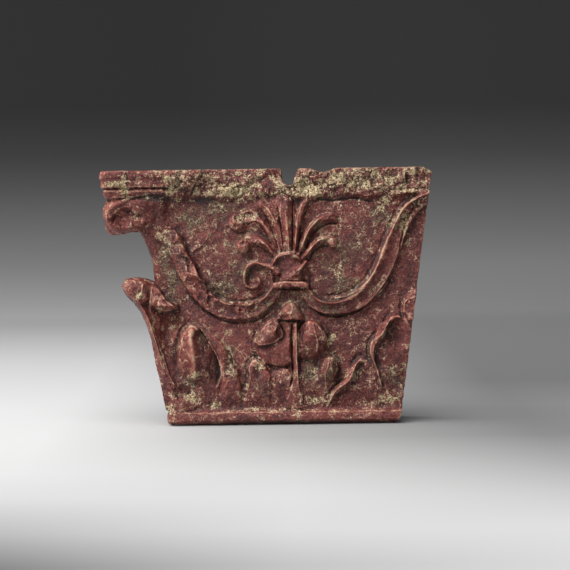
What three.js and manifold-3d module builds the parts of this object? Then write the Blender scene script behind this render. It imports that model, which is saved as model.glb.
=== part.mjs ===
// A carved pilaster capital in red marble: a palmette on a tied calyx between two volute bands,
// over a row of acanthus leaves, with a moulded abacus above and a rounded fillet below.
// It is one block of stone. The right side is sawn off, the left volute and the abacus are broken.
// +Z is up and the carved face looks along -Y. The origin is on the axis of the carving,
// at the underside, half way between the back and the front of the base.

import * as THREE from "three";
import { mergeVertices } from "three/addons/utils/BufferGeometryUtils.js";
import Module from "manifold-3d";

const wasm = await Module();
wasm.setup();

// Driving dimensions, in millimetres
const baseHeight = 12; // rounded fillet at the foot
const bellHeight = 160; // carved part, from the base to the abacus
const abacusHeight = 22;
const bellDepth = 44; // back of the block to the face of the bell at its foot
const bellFlare = 5; // how far the lip of the bell leans out over its foot
const baseProjection = 6; // fillet in front of the foot of the bell
const baseReturn = 4; // fillet beyond the left side of the bell
const abacusReach = 141; // axis to the left end of the abacus
const abacusProjection = 6; // fascia in front of the lip, on the axis
const hornProjection = 9; // how much further the corner of the abacus comes forward
const cutReach = 109; // axis to the sawn right side, at the top
const cutLean = 7.6; // degrees that the sawn side leans outwards
const breakProud = 3.2; // broken abacus in front of the lip
const breakRoughness = 1.3;
const breakRagged = 2.6; // how far its lower edge wanders up and down
const fasciaSplit = 6; // height of the upper of the two fasciae
const fasciaHeight = 12.5;
const fasciaStep = 0.8;
const grooveDepth = 1.4;
const sinkDepth = 3; // how deep the added relief runs into the block behind it
const leafReturn = 34; // how far the corner leaf runs back round the left side
const voluteReturn = 35;

// Derived sizes
const capitalHeight = baseHeight + bellHeight + abacusHeight;
const backY = (bellDepth + baseProjection) / 2;
const footY = backY - bellDepth;
const lipHeight = baseHeight + bellHeight;
const lipY = footY - bellFlare;
const beyond = 1.2 * abacusReach; // past the sawn side, before it is sawn
const moduleAcross = abacusReach / 88.125; // the carving is drawn in modules, this many to the corner
const moduleUp = bellHeight / 100; // and this many up the bell

const alongModules = (x) => x * moduleAcross;
const upModules = (z) => baseHeight + z * moduleUp;
const drawn = (x, z) => new THREE.Vector3(alongModules(x), 0, upModules(z));

// How far up the bell a height is, from 0 at the foot to 1 at the lip
const riseShare = (z) => THREE.MathUtils.clamp((z - baseHeight) / bellHeight, 0, 1);
const hornShare = (x) => (Math.min(Math.abs(x), abacusReach) / abacusReach) ** 2;

// The face of the bell leans out towards the lip, and a little more towards the corner
const faceAt = (x, z) => {
  const share = riseShare(z) ** 2;
  return footY - bellFlare * share - 0.35 * hornProjection * hornShare(x) * share;
};

// A closed mesh as a solid, turned right side out
function solidOfMesh(positions, indices) {
  const geometry = new THREE.BufferGeometry();
  geometry.setAttribute("position", new THREE.Float32BufferAttribute(positions, 3));
  geometry.setIndex(indices);
  return solidOf(geometry);
}

function solidOf(geometry) {
  const bare = new THREE.BufferGeometry();
  bare.setAttribute("position", geometry.getAttribute("position"));
  bare.setIndex(geometry.getIndex());
  const merged = mergeVertices(bare, 1e-4);
  const vertProperties = new Float32Array(merged.attributes.position.array);
  const triVerts = new Uint32Array(merged.index.array);
  const solid = new wasm.Manifold(new wasm.Mesh({ numProp: 3, vertProperties, triVerts }));
  if (solid.volume() > 0) return solid;
  triVerts.reverse();
  return new wasm.Manifold(new wasm.Mesh({ numProp: 3, vertProperties, triVerts }));
}

// A skin over rings of points that all have the same count, closed at both ends
function loft(rings, capOutline) {
  const count = rings[0].length;
  const positions = rings.flat().flatMap((p) => [p.x, p.y, p.z]);
  const indices = [];
  for (let r = 0; r + 1 < rings.length; r += 1) {
    for (let i = 0; i < count; i += 1) {
      const a = r * count + i;
      const b = r * count + ((i + 1) % count);
      indices.push(a, b, b + count, a, b + count, a + count);
    }
  }
  const last = (rings.length - 1) * count;
  const turned = THREE.ShapeUtils.isClockWise(capOutline);
  for (const [a, b, c] of THREE.ShapeUtils.triangulateShape(capOutline, [])) {
    const [p, q] = turned ? [c, b] : [b, c];
    indices.push(a, q, p, last + a, last + p, last + q);
  }
  return solidOfMesh(positions, indices);
}

const curveThrough = (points) =>
  new THREE.CatmullRomCurve3(points.map(([x, z]) => drawn(x, z)), false, "centripetal");

// A value that runs smoothly through the listed ones along a stroke
function along(values, t) {
  const place = t * (values.length - 1);
  const i = Math.min(Math.floor(place), values.length - 2);
  return THREE.MathUtils.lerp(values[i], values[i + 1], THREE.MathUtils.smoothstep(place - i, 0, 1));
}

// One carved stroke on the face: a section drawn as shares of half width and of relief,
// carried along a path. Positive shares lie on the left hand of the path.
function stroke({ path, halfWidths, reliefs, section, steps = 12 }) {
  const curve = curveThrough(path);
  const rings = [];
  const outline = [[section[0][0], null], ...section, [section.at(-1)[0], null]];
  for (let k = 0; k <= steps; k += 1) {
    const t = k / steps;
    const centre = curve.getPointAt(t);
    const tangent = curve.getTangentAt(t);
    const half = alongModules(along(halfWidths, t));
    const relief = alongModules(along(reliefs, t));
    rings.push(
      outline.map(([across, height]) => {
        const x = centre.x - tangent.z * across * half;
        const z = centre.z + tangent.x * across * half;
        const out = height === null ? -sinkDepth : height * relief;
        return new THREE.Vector3(x, faceAt(x, z) - out, z);
      }),
    );
  }
  const cap = outline.map(([across, height]) => new THREE.Vector2(across, height ?? -2));
  return loft(rings, cap);
}

// A swelling on the face: its outline is drawn in towards the crown as it rises.
// The edge is the share of the relief that stands straight up from the outline, and the root is
// the share of the relief that is left at the lower end, where a lobe sinks into the leaf.
function swelling({ outline, crown, relief, edge = 0.42, root = 1, points = 14 }) {
  const rim = new THREE.CatmullRomCurve3(outline.map(([x, z]) => drawn(x, z)), true, "centripetal");
  const top = drawn(...crown);
  const rise = [[0, null], [0, edge], [0.13, edge + 0.62 * (1 - edge)], [0.4, 0.93], [0.74, 1]];
  const foot = Array.from({ length: points }, (_, k) => rim.getPointAt(k / points));
  const lowest = Math.min(...foot.map((p) => p.z));
  const standing = (z) => THREE.MathUtils.lerp(root, 1, THREE.MathUtils.smoothstep(z, lowest, top.z));
  const rings = rise.map(([inwards, height]) =>
    foot.map((p) => {
      const { x, z } = p.clone().lerp(top, inwards);
      const out = height === null ? -sinkDepth : height * standing(z) * alongModules(relief);
      return new THREE.Vector3(x, faceAt(x, z) - out, z);
    }),
  );
  return loft(rings, foot.map((p) => new THREE.Vector2(p.x, p.z)));
}

// Sections, from the right hand of the path to its left hand
const ridgeOnLeft = [[-1, 0.5], [-0.86, 0.62], [-0.2, 0.5], [0.4, 0.66], [0.74, 1], [1, 0.86]];
const ridgeOnRight = ridgeOnLeft.map(([across, height]) => [-across, height]).reverse();
const rounded = [[-1, 0.4], [-0.7, 0.82], [-0.15, 1], [0.35, 0.97], [0.78, 0.7], [1, 0.4]];
const gabled = [[-1, 0.24], [-0.45, 0.74], [0, 1], [0.45, 0.74], [1, 0.24]];
const cornerRib = [[-2.2, 0.15], [-1.3, 0.34], [-0.4, 0.62], [0, 1], [0.3, 0.88], [1, 0.2]];
const banded = [[-1, 0.72], [-0.72, 1], [0.72, 1], [1, 0.72]];

// The block

const bellSide = new THREE.CatmullRomCurve3(
  [[-54.7, 0], [-58.7, 17.7], [-60.8, 36.5], [-61.5, 53], [-62.3, 63.2], [-63.4, 71.5], [-66, 79],
    [-70, 86], [-76, 93], [-81, 100]].map(([x, z]) => drawn(x, z)),
);

// One level of the block: how far it comes forward of the bell's face, and where its left side is
const baseProfile = [[0, -3.6], [0.1, -1.1], [0.28, 0], [0.7, -0.2], [0.9, -1.2], [1, -3]];
const cavetto = { top: fasciaHeight + 2, steps: 4 };

function blockLevels() {
  const levels = [];
  for (const [share, inset] of baseProfile) {
    const side = bellSide.getPoint(0).x - baseReturn - inset;
    levels.push({ z: share * baseHeight, forward: baseProjection + inset, horn: 0, left: side });
  }
  const bellLevels = 13;
  for (let k = 0; k <= bellLevels; k += 1) {
    const p = bellSide.getPoint(k / bellLevels);
    levels.push({ z: Math.max(p.z, baseHeight + 0.4), forward: 0, horn: 0, left: p.x });
  }
  const fascia = (down, inset) => {
    levels.push({
      z: capitalHeight - down,
      forward: abacusProjection - inset,
      horn: hornProjection,
      left: -abacusReach + inset,
    });
  };
  const cavettoHeight = abacusHeight - cavetto.top;
  for (let k = 0; k <= cavetto.steps; k += 1) {
    const angle = (k / cavetto.steps) * (Math.PI / 2);
    const inset = abacusProjection * (1 - Math.sin(angle));
    fascia(cavetto.top + 0.98 * cavettoHeight * Math.cos(angle), fasciaStep + grooveDepth + inset);
  }
  fascia(fasciaHeight + 1.2, fasciaStep + grooveDepth);
  fascia(fasciaHeight, fasciaStep);
  fascia(fasciaSplit + 0.6, fasciaStep);
  fascia(fasciaSplit, 0);
  fascia(1.2, 0);
  fascia(0, 1);
  return levels;
}

function block() {
  const frontStations = 13;
  const cornerRadius = 5;
  const rings = blockLevels().map(({ z, forward, horn, left }) => {
    const front = (x) => faceAt(x, z) - forward - horn * hornShare(x);
    const ring = [new THREE.Vector3(beyond, backY, z), new THREE.Vector3(left, backY, z)];
    ring.push(new THREE.Vector3(left, front(left) + cornerRadius, z));
    ring.push(new THREE.Vector3(left + 0.3 * cornerRadius, front(left) + 0.3 * cornerRadius, z));
    for (let k = 0; k <= frontStations; k += 1) {
      const x = THREE.MathUtils.lerp(left + cornerRadius, beyond, k / frontStations);
      ring.push(new THREE.Vector3(x, front(x), z));
    }
    return ring;
  });
  return loft(rings, rings[0].map((p) => new THREE.Vector2(p.x, p.y)));
}

// The carving

function voluteBands() {
  const left = stroke({
    path: [[-62.5, 92], [-58, 86], [-53.1, 80], [-49.5, 71.5], [-45.8, 62.5], [-41.3, 55],
      [-35, 49.3], [-27, 46.7], [-19.5, 46.8], [-13, 49.2], [-8.8, 52.8], [-5.2, 58]],
    halfWidths: [5, 4.8, 4, 3.6, 3.8, 4, 4, 3.9, 3.9, 3.5, 2.8, 2.4],
    reliefs: [2, 3, 3.8, 3.8, 4, 4, 4, 4, 4, 4, 4, 3.4],
    section: ridgeOnLeft,
    steps: 24,
  });
  const right = stroke({
    path: [[72, 101], [63, 98], [56.5, 92], [51.8, 83.5], [48.2, 73.5], [44.7, 65.5], [39.8, 57.2],
      [33, 51], [25, 48], [17, 47.8], [11.4, 50.5], [6.6, 57.5]],
    halfWidths: [2.4, 3, 3.5, 3.8, 4, 4.2, 4.4, 4, 3.6, 3.2, 2.8, 2.4],
    reliefs: [3.2, 3.6, 4, 4, 4, 4, 4, 4, 4, 4, 4, 3.4],
    section: ridgeOnRight,
    steps: 24,
  });
  return [left, right];
}

// The small inner scroll on the left winds in from the calyx, and its pair on the right is a stump
function innerScrolls() {
  const eye = [-16.6, 60.7];
  const scroll = stroke({
    path: [[-4.5, 64.5], [-7.4, 67.1], [-11.6, 68.6], [-16, 69.4], [-19.4, 67.8], [-21, 63.6],
      [-20.4, 59.4], [-17.8, 57.6], [-15, 58.4], [-13.8, 61.1], [-15.4, 62.8]],
    halfWidths: [2, 1.7, 1.4, 1.3, 1.3, 1.3, 1.2, 1.1, 1, 0.9, 0.7],
    reliefs: [3.6, 3.4, 3.2, 3.2, 3, 3, 2.8, 2.6, 2.4, 2.2, 2],
    section: rounded,
    steps: 20,
  });
  const eyeBoss = swelling({
    outline: [[-18.6, 60.6], [-16.6, 62.6], [-14.6, 60.6], [-16.6, 58.6]],
    crown: eye,
    relief: 2.2,
    edge: 0.5,
    points: 8,
  });
  const discEdge = stroke({
    path: [[-11.2, 66.3], [-8.8, 64.8], [-7.7, 61.1], [-9, 55.9]],
    halfWidths: [0.5, 0.8, 0.8, 0.5],
    reliefs: [1.2, 1.8, 1.8, 1.2],
    section: gabled,
    steps: 6,
  });
  const stump = stroke({
    path: [[-0.6, 61.6], [2.9, 64.7], [6.2, 67.9], [8.8, 70.4]],
    halfWidths: [1.3, 1.4, 1.2, 0.9],
    reliefs: [4, 4.2, 3.8, 2.6],
    section: rounded,
    steps: 6,
  });
  return [scroll, eyeBoss, discEdge, stump];
}

// Seven fronds spread from the calyx, and the lowest curl over at their tips
function palmette() {
  const fronds = [
    {
      path: [[0.4, 72], [0, 82.5], [-1, 90.5], [-2.4, 97], [-3, 103]],
      halfWidths: [1.1, 2, 3.4, 5.2, 6.2],
      lift: 1.2,
    },
    {
      path: [[-1.7, 72], [-3, 81.2], [-5.6, 88.2], [-9.4, 94], [-13.6, 98.4]],
      halfWidths: [0.8, 1.4, 2.2, 3.2, 3.8],
      lift: 1,
    },
    {
      path: [[-3.2, 72], [-6.4, 80.4], [-10.2, 85.8], [-14.6, 89], [-19, 89.6], [-23, 88.2]],
      halfWidths: [0.9, 1.5, 1.9, 2.1, 2.1, 1.8],
      lift: 0.86,
    },
    {
      path: [[-4.8, 71], [-9.1, 76.6], [-13.3, 79.2], [-17.1, 79.7], [-20.4, 78]],
      halfWidths: [0.9, 1.7, 2, 2.1, 2.2],
      lift: 1,
    },
    {
      path: [[2.6, 72], [3.4, 79], [4.4, 85.6], [6.3, 93.6], [9.4, 99.8]],
      halfWidths: [0.9, 1.3, 1.6, 2, 2.1],
      lift: 1.1,
    },
    {
      path: [[4.2, 72], [7.3, 80.1], [10.2, 85.2], [14, 88.6], [18.7, 90], [23.2, 89.8]],
      halfWidths: [0.9, 1.4, 1.7, 1.9, 1.9, 1.7],
      lift: 0.92,
    },
    {
      path: [[5.8, 70.5], [10.2, 75.9], [13.8, 78.9], [17.4, 79.8], [20.8, 78.8]],
      halfWidths: [0.8, 1.5, 1.8, 2, 1.9],
      lift: 1,
    },
  ];
  const curls = [
    {
      outline: [[-24.6, 77.6], [-22.6, 80.6], [-19.4, 80.4], [-18, 77.4], [-19.6, 74.4], [-22.6, 74.2]],
      crown: [-21.6, 78],
      relief: 3.4,
    },
    {
      outline: [[-28.4, 88], [-26.6, 91.4], [-23, 92.6], [-20.6, 90], [-21.4, 86.2], [-25.4, 84.6]],
      crown: [-24.4, 89.4],
      relief: 3,
    },
    {
      outline: [[18.6, 79.2], [20.6, 81.2], [23, 80.2], [23.2, 77.4], [21, 75.8], [18.8, 77]],
      crown: [21, 79],
      relief: 2.8,
    },
  ];
  return [
    ...fronds.map(({ path, halfWidths, lift }) => {
      const reliefs = [2.6, 3, 3.1, 2.9, 1.6].map((relief) => lift * relief);
      return stroke({ path, halfWidths, reliefs, section: gabled, steps: 8 });
    }),
    ...curls.map((curl) => swelling({ ...curl, edge: 0.5, points: 9 })),
  ];
}

// The calyx that the palmette grows from, with its rim and the collar that ties the bands
function calyx() {
  const cup = stroke({
    path: [[0.9, 58.5], [0.9, 63], [0.4, 67.5], [-0.4, 72]],
    halfWidths: [5.4, 4.8, 6, 6.4],
    reliefs: [3.8, 3.4, 3, 2.6],
    section: [[-1, 0.45], [-0.6, 0.9], [0, 1], [0.6, 0.9], [1, 0.45]],
    steps: 7,
  });
  const rim = stroke({
    path: [[-8.2, 67.4], [-6.8, 70.2], [-4.4, 72.4], [-1.2, 73.4], [2.2, 73], [5.2, 71]],
    halfWidths: [0.8, 1.1, 1.3, 1.3, 1.2, 0.8],
    reliefs: [3.4, 4, 4.4, 4.4, 4.2, 3.6],
    section: rounded,
    steps: 11,
  });
  const collar = stroke({
    path: [[-7.4, 58.4], [-2, 59.3], [4, 59.3], [9.4, 58.2]],
    halfWidths: [1.5, 1.8, 1.8, 1.5],
    reliefs: [4, 4.8, 4.8, 4],
    section: banded,
    steps: 6,
  });
  return [cup, rim, collar];
}

function centreLeaf() {
  const tip = {
    outline: [[-6.2, 43], [-3.6, 47.6], [-0.6, 50.8], [2.2, 50.8], [5, 47.6], [7, 43], [3.6, 41.9],
      [-2.6, 41.9]],
    crown: [0.8, 45.2],
    relief: 5.8,
    edge: 0.5,
  };
  const upperLeftBody = {
    outline: [[-15.9, 30.7], [-14.5, 26], [-12, 22], [-8, 20.4], [-2, 20.4], [1.6, 22], [2.4, 32],
      [2, 42], [-4, 43.6], [-9.6, 38]],
    crown: [-5, 31],
    relief: 2.8,
    edge: 0.6,
    root: 0.75,
  };
  const upperLeftRoll = {
    outline: [[-5.9, 43.2], [-9.6, 42.6], [-13.2, 38.6], [-15.9, 33.5], [-16.3, 30.4], [-13.1, 30],
      [-9.3, 30.8], [-6.3, 33.4], [-4.6, 38]],
    crown: [-10.2, 35.6],
    relief: 5,
  };
  const lowerLeft = {
    outline: [[-9.4, 17], [-11.6, 20.6], [-14.1, 23], [-17.9, 23.4], [-19.6, 20.4], [-19.3, 15.5],
      [-20.4, 9], [-21.4, -0.5], [-8, -0.5], [-8.6, 9]],
    crown: [-14.4, 17],
    relief: 3.2,
    edge: 0.55,
    root: 0.3,
  };
  const lowerMiddle = {
    outline: [[-9, 16.6], [-5, 18.6], [0.6, 18.6], [2, 10], [-1, -0.5], [-10, -0.5], [-9.8, 8]],
    crown: [-4, 12],
    relief: 2.4,
    edge: 0.5,
    root: 0.4,
  };
  const upperRight = {
    outline: [[4, 36.6], [6.4, 40.6], [9.4, 42.8], [12.4, 42], [15.4, 38.4], [18, 34], [17.3, 29.6],
      [14.8, 26.4], [10, 23.4], [4, 24]],
    crown: [11.6, 36],
    relief: 5.2,
    root: 0.45,
  };
  const lowerRight = {
    outline: [[3, 22], [9, 21.6], [14, 17.6], [18.6, 12], [19, 5], [18, -0.5], [3, -0.5]],
    crown: [9, 14],
    relief: 2,
    edge: 0.5,
    root: 0.4,
  };
  const lowerRightBud = {
    outline: [[14, 18.1], [15.6, 22.9], [18.7, 25.4], [21.6, 23.6], [22.8, 18.9], [21.4, 13.2],
      [19.6, 8], [17, 11.6]],
    crown: [18.6, 20],
    relief: 4.4,
    root: 0.4,
  };
  const midrib = stroke({
    path: [[2.6, 44], [2.7, 33], [2.7, 24], [2.9, 16], [2.6, 9], [2.2, -0.5]],
    halfWidths: [1.3, 1.3, 1.3, 1.5, 2.8, 6],
    reliefs: [4.2, 3.8, 3.4, 3.2, 2.6, 2],
    section: rounded,
    steps: 10,
  });
  const leftLobes = [upperLeftBody, upperLeftRoll, lowerLeft, lowerMiddle];
  const rightLobes = [upperRight, lowerRight, lowerRightBud];
  return [...leftLobes, ...rightLobes, tip].map(swelling).concat(midrib);
}

// The leaf under the sawn side: two lobes with raised, rolled left edges, and the bud of the next lobe
function rightLeaf() {
  const upper = {
    outline: [[47, 43.4], [51.4, 44.2], [55.4, 41.9], [62, 33], [62, -0.5], [44, -0.5], [42.6, 12],
      [40, 19], [38.2, 26.7], [39.4, 31], [42.3, 36], [44.6, 40]],
    crown: [51, 30],
    relief: 2.8,
    edge: 0.5,
    root: 0.3,
  };
  const lower = {
    outline: [[16.6, -0.5], [20.5, 8.2], [25.1, 12], [28, 15.5], [29.6, 19], [32.3, 22.4],
      [35.6, 23.2], [38.8, 20.6], [41, 14.9], [42.6, -0.5]],
    crown: [34, 15],
    relief: 2.4,
    edge: 0.5,
    root: 0.3,
  };
  const bud = {
    outline: [[53.8, 48.9], [55.2, 53], [58.1, 55.8], [68, 57], [68, 40], [57.4, 40], [54.7, 44.8]],
    crown: [62, 49],
    relief: 3.4,
    edge: 0.5,
  };
  const upperRoll = stroke({
    path: [[52.4, 43.2], [49.2, 42.8], [46, 39.4], [42.8, 34.2], [40.2, 29.6], [39.1, 26.2],
      [39.8, 22], [42, 16], [43.6, 9]],
    halfWidths: [0.7, 1.6, 2.5, 2.3, 1.6, 1, 0.8, 0.8, 0.5],
    reliefs: [3.6, 4.6, 5, 4.8, 4.2, 3.6, 3.2, 3, 2.4],
    section: rounded,
    steps: 14,
  });
  const lowerRoll = stroke({
    path: [[18, 2.4], [21.4, 8], [25.4, 11.2], [28.2, 14.4], [29.6, 17.8], [32, 21.4], [35, 22.6]],
    halfWidths: [0.6, 1.1, 1.9, 2, 1.9, 1.5, 0.7],
    reliefs: [2.4, 3.4, 4, 4, 4, 3.6, 2.8],
    section: rounded,
    steps: 10,
  });
  return [...[upper, lower, bud].map(swelling), upperRoll, lowerRoll];
}

// A slab with a smooth closed outline in the plane of the face, its front edge rounded off
function slab(outline, { front, back, round, steps = 40 }) {
  const curve = new THREE.CatmullRomCurve3(outline.map(([x, z]) => drawn(x, z)), true, "centripetal");
  const ringAt = (y, inset) =>
    Array.from({ length: steps }, (_, k) => {
      const p = curve.getPointAt(k / steps);
      const tangent = curve.getTangentAt(k / steps);
      return new THREE.Vector3(p.x - tangent.z * inset, y, p.z + tangent.x * inset);
    });
  const rings = [ringAt(back, 0), ringAt(front + round, 0), ringAt(front + 0.3 * round, 0.3 * round)];
  rings.push(ringAt(front, round));
  return loft(rings, rings[0].map((p) => new THREE.Vector2(p.x, p.z)));
}

// The leaf on the left corner, its spine on the edge of the block and its tip curling outwards
function cornerLeaf() {
  const body = slab(
    [[-46, -0.5], [-55.6, -0.5], [-58.6, 10.7], [-60.8, 20.1], [-62.3, 28.1], [-63.6, 35.7],
      [-65.9, 42.8], [-68.6, 48.3], [-71.8, 52.3], [-76.4, 57.6], [-76.6, 60.8], [-74, 62.6],
      [-69.8, 62.4], [-64.6, 61.2], [-58, 56], [-53, 50], [-49.6, 42], [-47, 20]],
    { front: footY - 1.5, back: footY - 1.5 + leafReturn, round: 2 },
  );
  const face = stroke({
    path: [[-49.4, -0.5], [-52, 7.3], [-54.2, 13], [-58.2, 21], [-61, 31], [-63.6, 40.4],
      [-66.3, 47.5], [-70.4, 53.6]],
    halfWidths: [6.6, 5.8, 5, 2.9, 2, 2.2, 2.6, 2.8],
    reliefs: [3.6, 4.2, 4.6, 5.2, 5.8, 6.4, 7, 6.8],
    section: cornerRib,
    steps: 16,
  });
  const tip = {
    outline: [[-76.9, 58.7], [-76.2, 61.8], [-73.1, 63.1], [-67.5, 62.6], [-63.8, 59.4],
      [-64.6, 53.6], [-68.6, 50], [-72.4, 53]],
    crown: [-70.6, 58],
    relief: 8.4,
    edge: 0.6,
  };
  const overhang = {
    outline: [[-64.4, 60.4], [-61, 59.6], [-56.2, 53.2], [-50.8, 48.8], [-53.6, 46.2], [-60, 47.4],
      [-65, 52]],
    crown: [-60.4, 52.6],
    relief: 6.4,
    edge: 0.5,
  };
  const bigLobe = {
    outline: [[-52, 28.4], [-51.2, 33.5], [-48.8, 38.7], [-45.8, 40.3], [-42.3, 38.8], [-39, 34.2],
      [-35.4, 29.5], [-33, 25.3], [-32.5, 20.6], [-34, 15.6], [-38.2, 11.6], [-43.8, 10.6],
      [-49.4, 13.6], [-51.8, 20.9]],
    crown: [-45.6, 32],
    relief: 6,
    edge: 0.34,
    root: 0.4,
    points: 18,
  };
  const outerLobe = {
    outline: [[-42, 39], [-34.6, 35.6], [-31.4, 30.8], [-27.9, 26.7], [-27.5, 20.6], [-32, 15],
      [-33.8, 9], [-33, -0.5], [-46, -0.5], [-46, 12]],
    crown: [-38, 24],
    relief: 2.8,
    edge: 0.5,
    root: 0.4,
  };
  const tatter = {
    outline: [[-31.4, 19], [-26.3, 22], [-23.9, 15], [-25, -0.5], [-33, -0.5], [-32.6, 11]],
    crown: [-28, 15],
    relief: 2.4,
    edge: 0.5,
    root: 0.35,
    points: 12,
  };
  return [body, face, ...[tip, overhang, bigLobe, outerLobe, tatter].map(swelling)];
}

// What is left of the volute under the corner of the abacus
function voluteStub() {
  const stub = slab(
    [[-60, 101], [-60, 90], [-65, 86.6], [-68.6, 85.4], [-72.8, 85.2], [-76.7, 84.3], [-81.4, 84],
      [-83.9, 86.4], [-84, 90.7], [-85.3, 94], [-84.1, 97.4], [-82.9, 101]],
    { front: lipY - 0.5, back: lipY - 0.5 + voluteReturn, round: 2, steps: 26 },
  );
  const broken = swelling({
    outline: [[-56, 100], [-56, 92], [-64, 88.4], [-70, 85.2], [-76.7, 84.3], [-81.2, 84.2],
      [-83.7, 86.4], [-83.8, 90.7], [-84.9, 94], [-83.8, 97.4], [-82, 101]],
    crown: [-80.4, 94],
    relief: 6.2,
    edge: 0.24,
  });
  const rim = stroke({
    path: [[-64, 98.4], [-71, 98.8], [-77.6, 98.4], [-82, 95.4], [-82.6, 91.4], [-80.8, 86.8]],
    halfWidths: [1.4, 1.9, 2.2, 2.3, 2.2, 1.8],
    reliefs: [3.4, 5.2, 7, 7.6, 7, 5.4],
    section: rounded,
    steps: 10,
  });
  return [stub, broken, rim];
}

// What has been cut or broken away

// The moulding is lost from the end of its sound part rightwards
function lostMoulding() {
  const start = alongModules(-47);
  const outside = backY + bellDepth;
  const steps = 16;
  const rings = [];
  for (let k = 0; k <= steps; k += 1) {
    const x = THREE.MathUtils.lerp(start, beyond, k / steps);
    const face = faceAt(x, lipHeight) - 0.6;
    const top = 1.5 * abacusHeight;
    const slant = k === 0 ? 0.5 : 0; // the sound moulding ends on a slant
    const corners = [[face, -0.6], [face, top], [-outside, top], [-outside, -0.6]];
    rings.push(corners.map(([y, up]) => new THREE.Vector3(x + slant * up, y, lipHeight + up)));
  }
  return loft(rings, rings[0].map((p) => new THREE.Vector2(p.y, p.z)));
}

// The rough stone that is left of it, with a ragged lower edge
function brokenMoulding() {
  const start = alongModules(-52);
  const steps = 32;
  const heights = [0, 0.12, 0.4, 0.72, 1.1];
  const rings = [];
  for (let k = 0; k <= steps; k += 1) {
    const x = THREE.MathUtils.lerp(start, beyond, k / steps);
    const ragged = breakRagged * (Math.sin(0.9 * k) + 0.7 * Math.sin(2.3 * k + 1)) * 0.5 - 0.8;
    const ring = heights.map((share, row) => {
      const slow = Math.sin(0.55 * k + 1.9 * row) + Math.sin(1.31 * k - 2.7 * row);
      const out = row === 0 ? 0.2 : breakProud + 0.5 * breakRoughness * (slow + Math.sin(2.4 * k + row));
      const z = THREE.MathUtils.lerp(lipHeight + ragged, capitalHeight, share);
      const aside = 0.8 * breakRoughness * Math.sin(3.1 * k + 2 * row);
      return new THREE.Vector3(x + aside, faceAt(x, lipHeight) - out, z);
    });
    ring.push(new THREE.Vector3(x, backY - sinkDepth, ring.at(-1).z));
    ring.push(new THREE.Vector3(x, backY - sinkDepth, ring[0].z));
    rings.push(ring);
  }
  return loft(rings, rings[0].map((p) => new THREE.Vector2(p.y, p.z)));
}

// A piece knocked off, seen from the front as an outline of places and heights
function chip(outline, reach = 4 * bellDepth) {
  const shape = new THREE.Shape(outline.map(([x, z]) => new THREE.Vector2(x, z)));
  const geometry = new THREE.ExtrudeGeometry(shape, { depth: reach, bevelEnabled: false });
  geometry.rotateX(Math.PI / 2);
  geometry.translate(0, reach - 2 * bellDepth, 0);
  return solidOf(geometry);
}

function sawnSide() {
  const size = 4 * beyond;
  const block = new THREE.BoxGeometry(size, size, size);
  block.translate(size / 2, 0, 0);
  block.rotateY(THREE.MathUtils.degToRad(cutLean));
  block.translate(cutReach, 0, capitalHeight);
  return solidOf(block);
}

// A hollow scooped out of the relief: an ellipsoid whose middle stands proud of the face
function hollow([x, z], [halfAcross, halfUp], proud, depth, turned = 0) {
  const ball = new THREE.SphereGeometry(1, 14, 9);
  ball.scale(alongModules(halfAcross), alongModules(depth), moduleUp * halfUp);
  ball.rotateY(THREE.MathUtils.degToRad(turned));
  const centre = drawn(x, z);
  ball.translate(centre.x, faceAt(centre.x, centre.z) - alongModules(proud), centre.z);
  return solidOf(ball);
}

// Outlines measured from a corner of the block
const from = (cornerX, cornerZ, outline) => outline.map(([x, z]) => [cornerX + x, cornerZ + z]);

function losses() {
  const notch = [[-7.5, 4], [-5.2, 0], [-4.2, -6], [-2.8, -11.5], [0.6, -13], [4.2, -12.4],
    [5.6, -7], [8.6, 0], [11, 4]];
  const scoop = [[13, 4], [17, 0], [21, -1.7], [26, -3.3], [31, -2.5], [37, -0.2], [41, 4]];
  const sawnCorner = [[-8, 4], [-5.5, -1], [-1.5, -2.8], [1.5, -8], [11, -10], [11, 4]];
  const abacusCorner = [[-9, 4], [2, 4], [1.4, -1.4], [-2, -3.4], [-9, -6]];
  const footCorner = [[13, 14], [3.3, 12.4], [1.1, 6.4], [-2.5, 2], [-5.5, -3], [13, -3]];
  const footEnd = [[-10, -3], [2, -3], [0.4, 1.6], [-1.8, 4.2], [-10, 5.4]];
  const footX = cutReach - capitalHeight * Math.tan(THREE.MathUtils.degToRad(cutLean));
  const footLeft = bellSide.getPoint(0).x - baseReturn;
  return [
    chip(from(0, capitalHeight, notch)),
    chip(from(0, capitalHeight, scoop)),
    chip(from(cutReach, capitalHeight, sawnCorner)),
    chip(from(-abacusReach, capitalHeight, abacusCorner)),
    chip(from(footX, 0, footCorner), 2 * bellDepth + 6),
    chip(from(footLeft, 0, footEnd), 2 * bellDepth - 6),
  ];
}

function leafHollows() {
  return [
    hollow([-55, 40.6], [4.6, 8.8], 2.5, 5, 14),
    hollow([-49.4, 8.4], [4.6, 5], 4.6, 3.1),
    hollow([-75, 91.4], [5.6, 4.4], 6.9, 4.4, -24),
    hollow([-4.2, 36], [2.6, 4.6], 2.9, 2.1, -14),
    hollow([-4.6, 19.5], [4.6, 0.9], 2.5, 2.2),
    hollow([0.7, 31], [0.7, 12.4], 2.9, 2),
    hollow([1, 41.4], [4.6, 1.2], 5, 2.5),
    hollow([-15.4, 18.4], [3.4, 4.4], 4.1, 2.5, 8),
    hollow([50, 33.6], [5, 8.4], 4, 3.1, -14),
    hollow([35.6, 16.6], [5, 6.6], 3.5, 2.5, -20),
  ];
}

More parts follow.
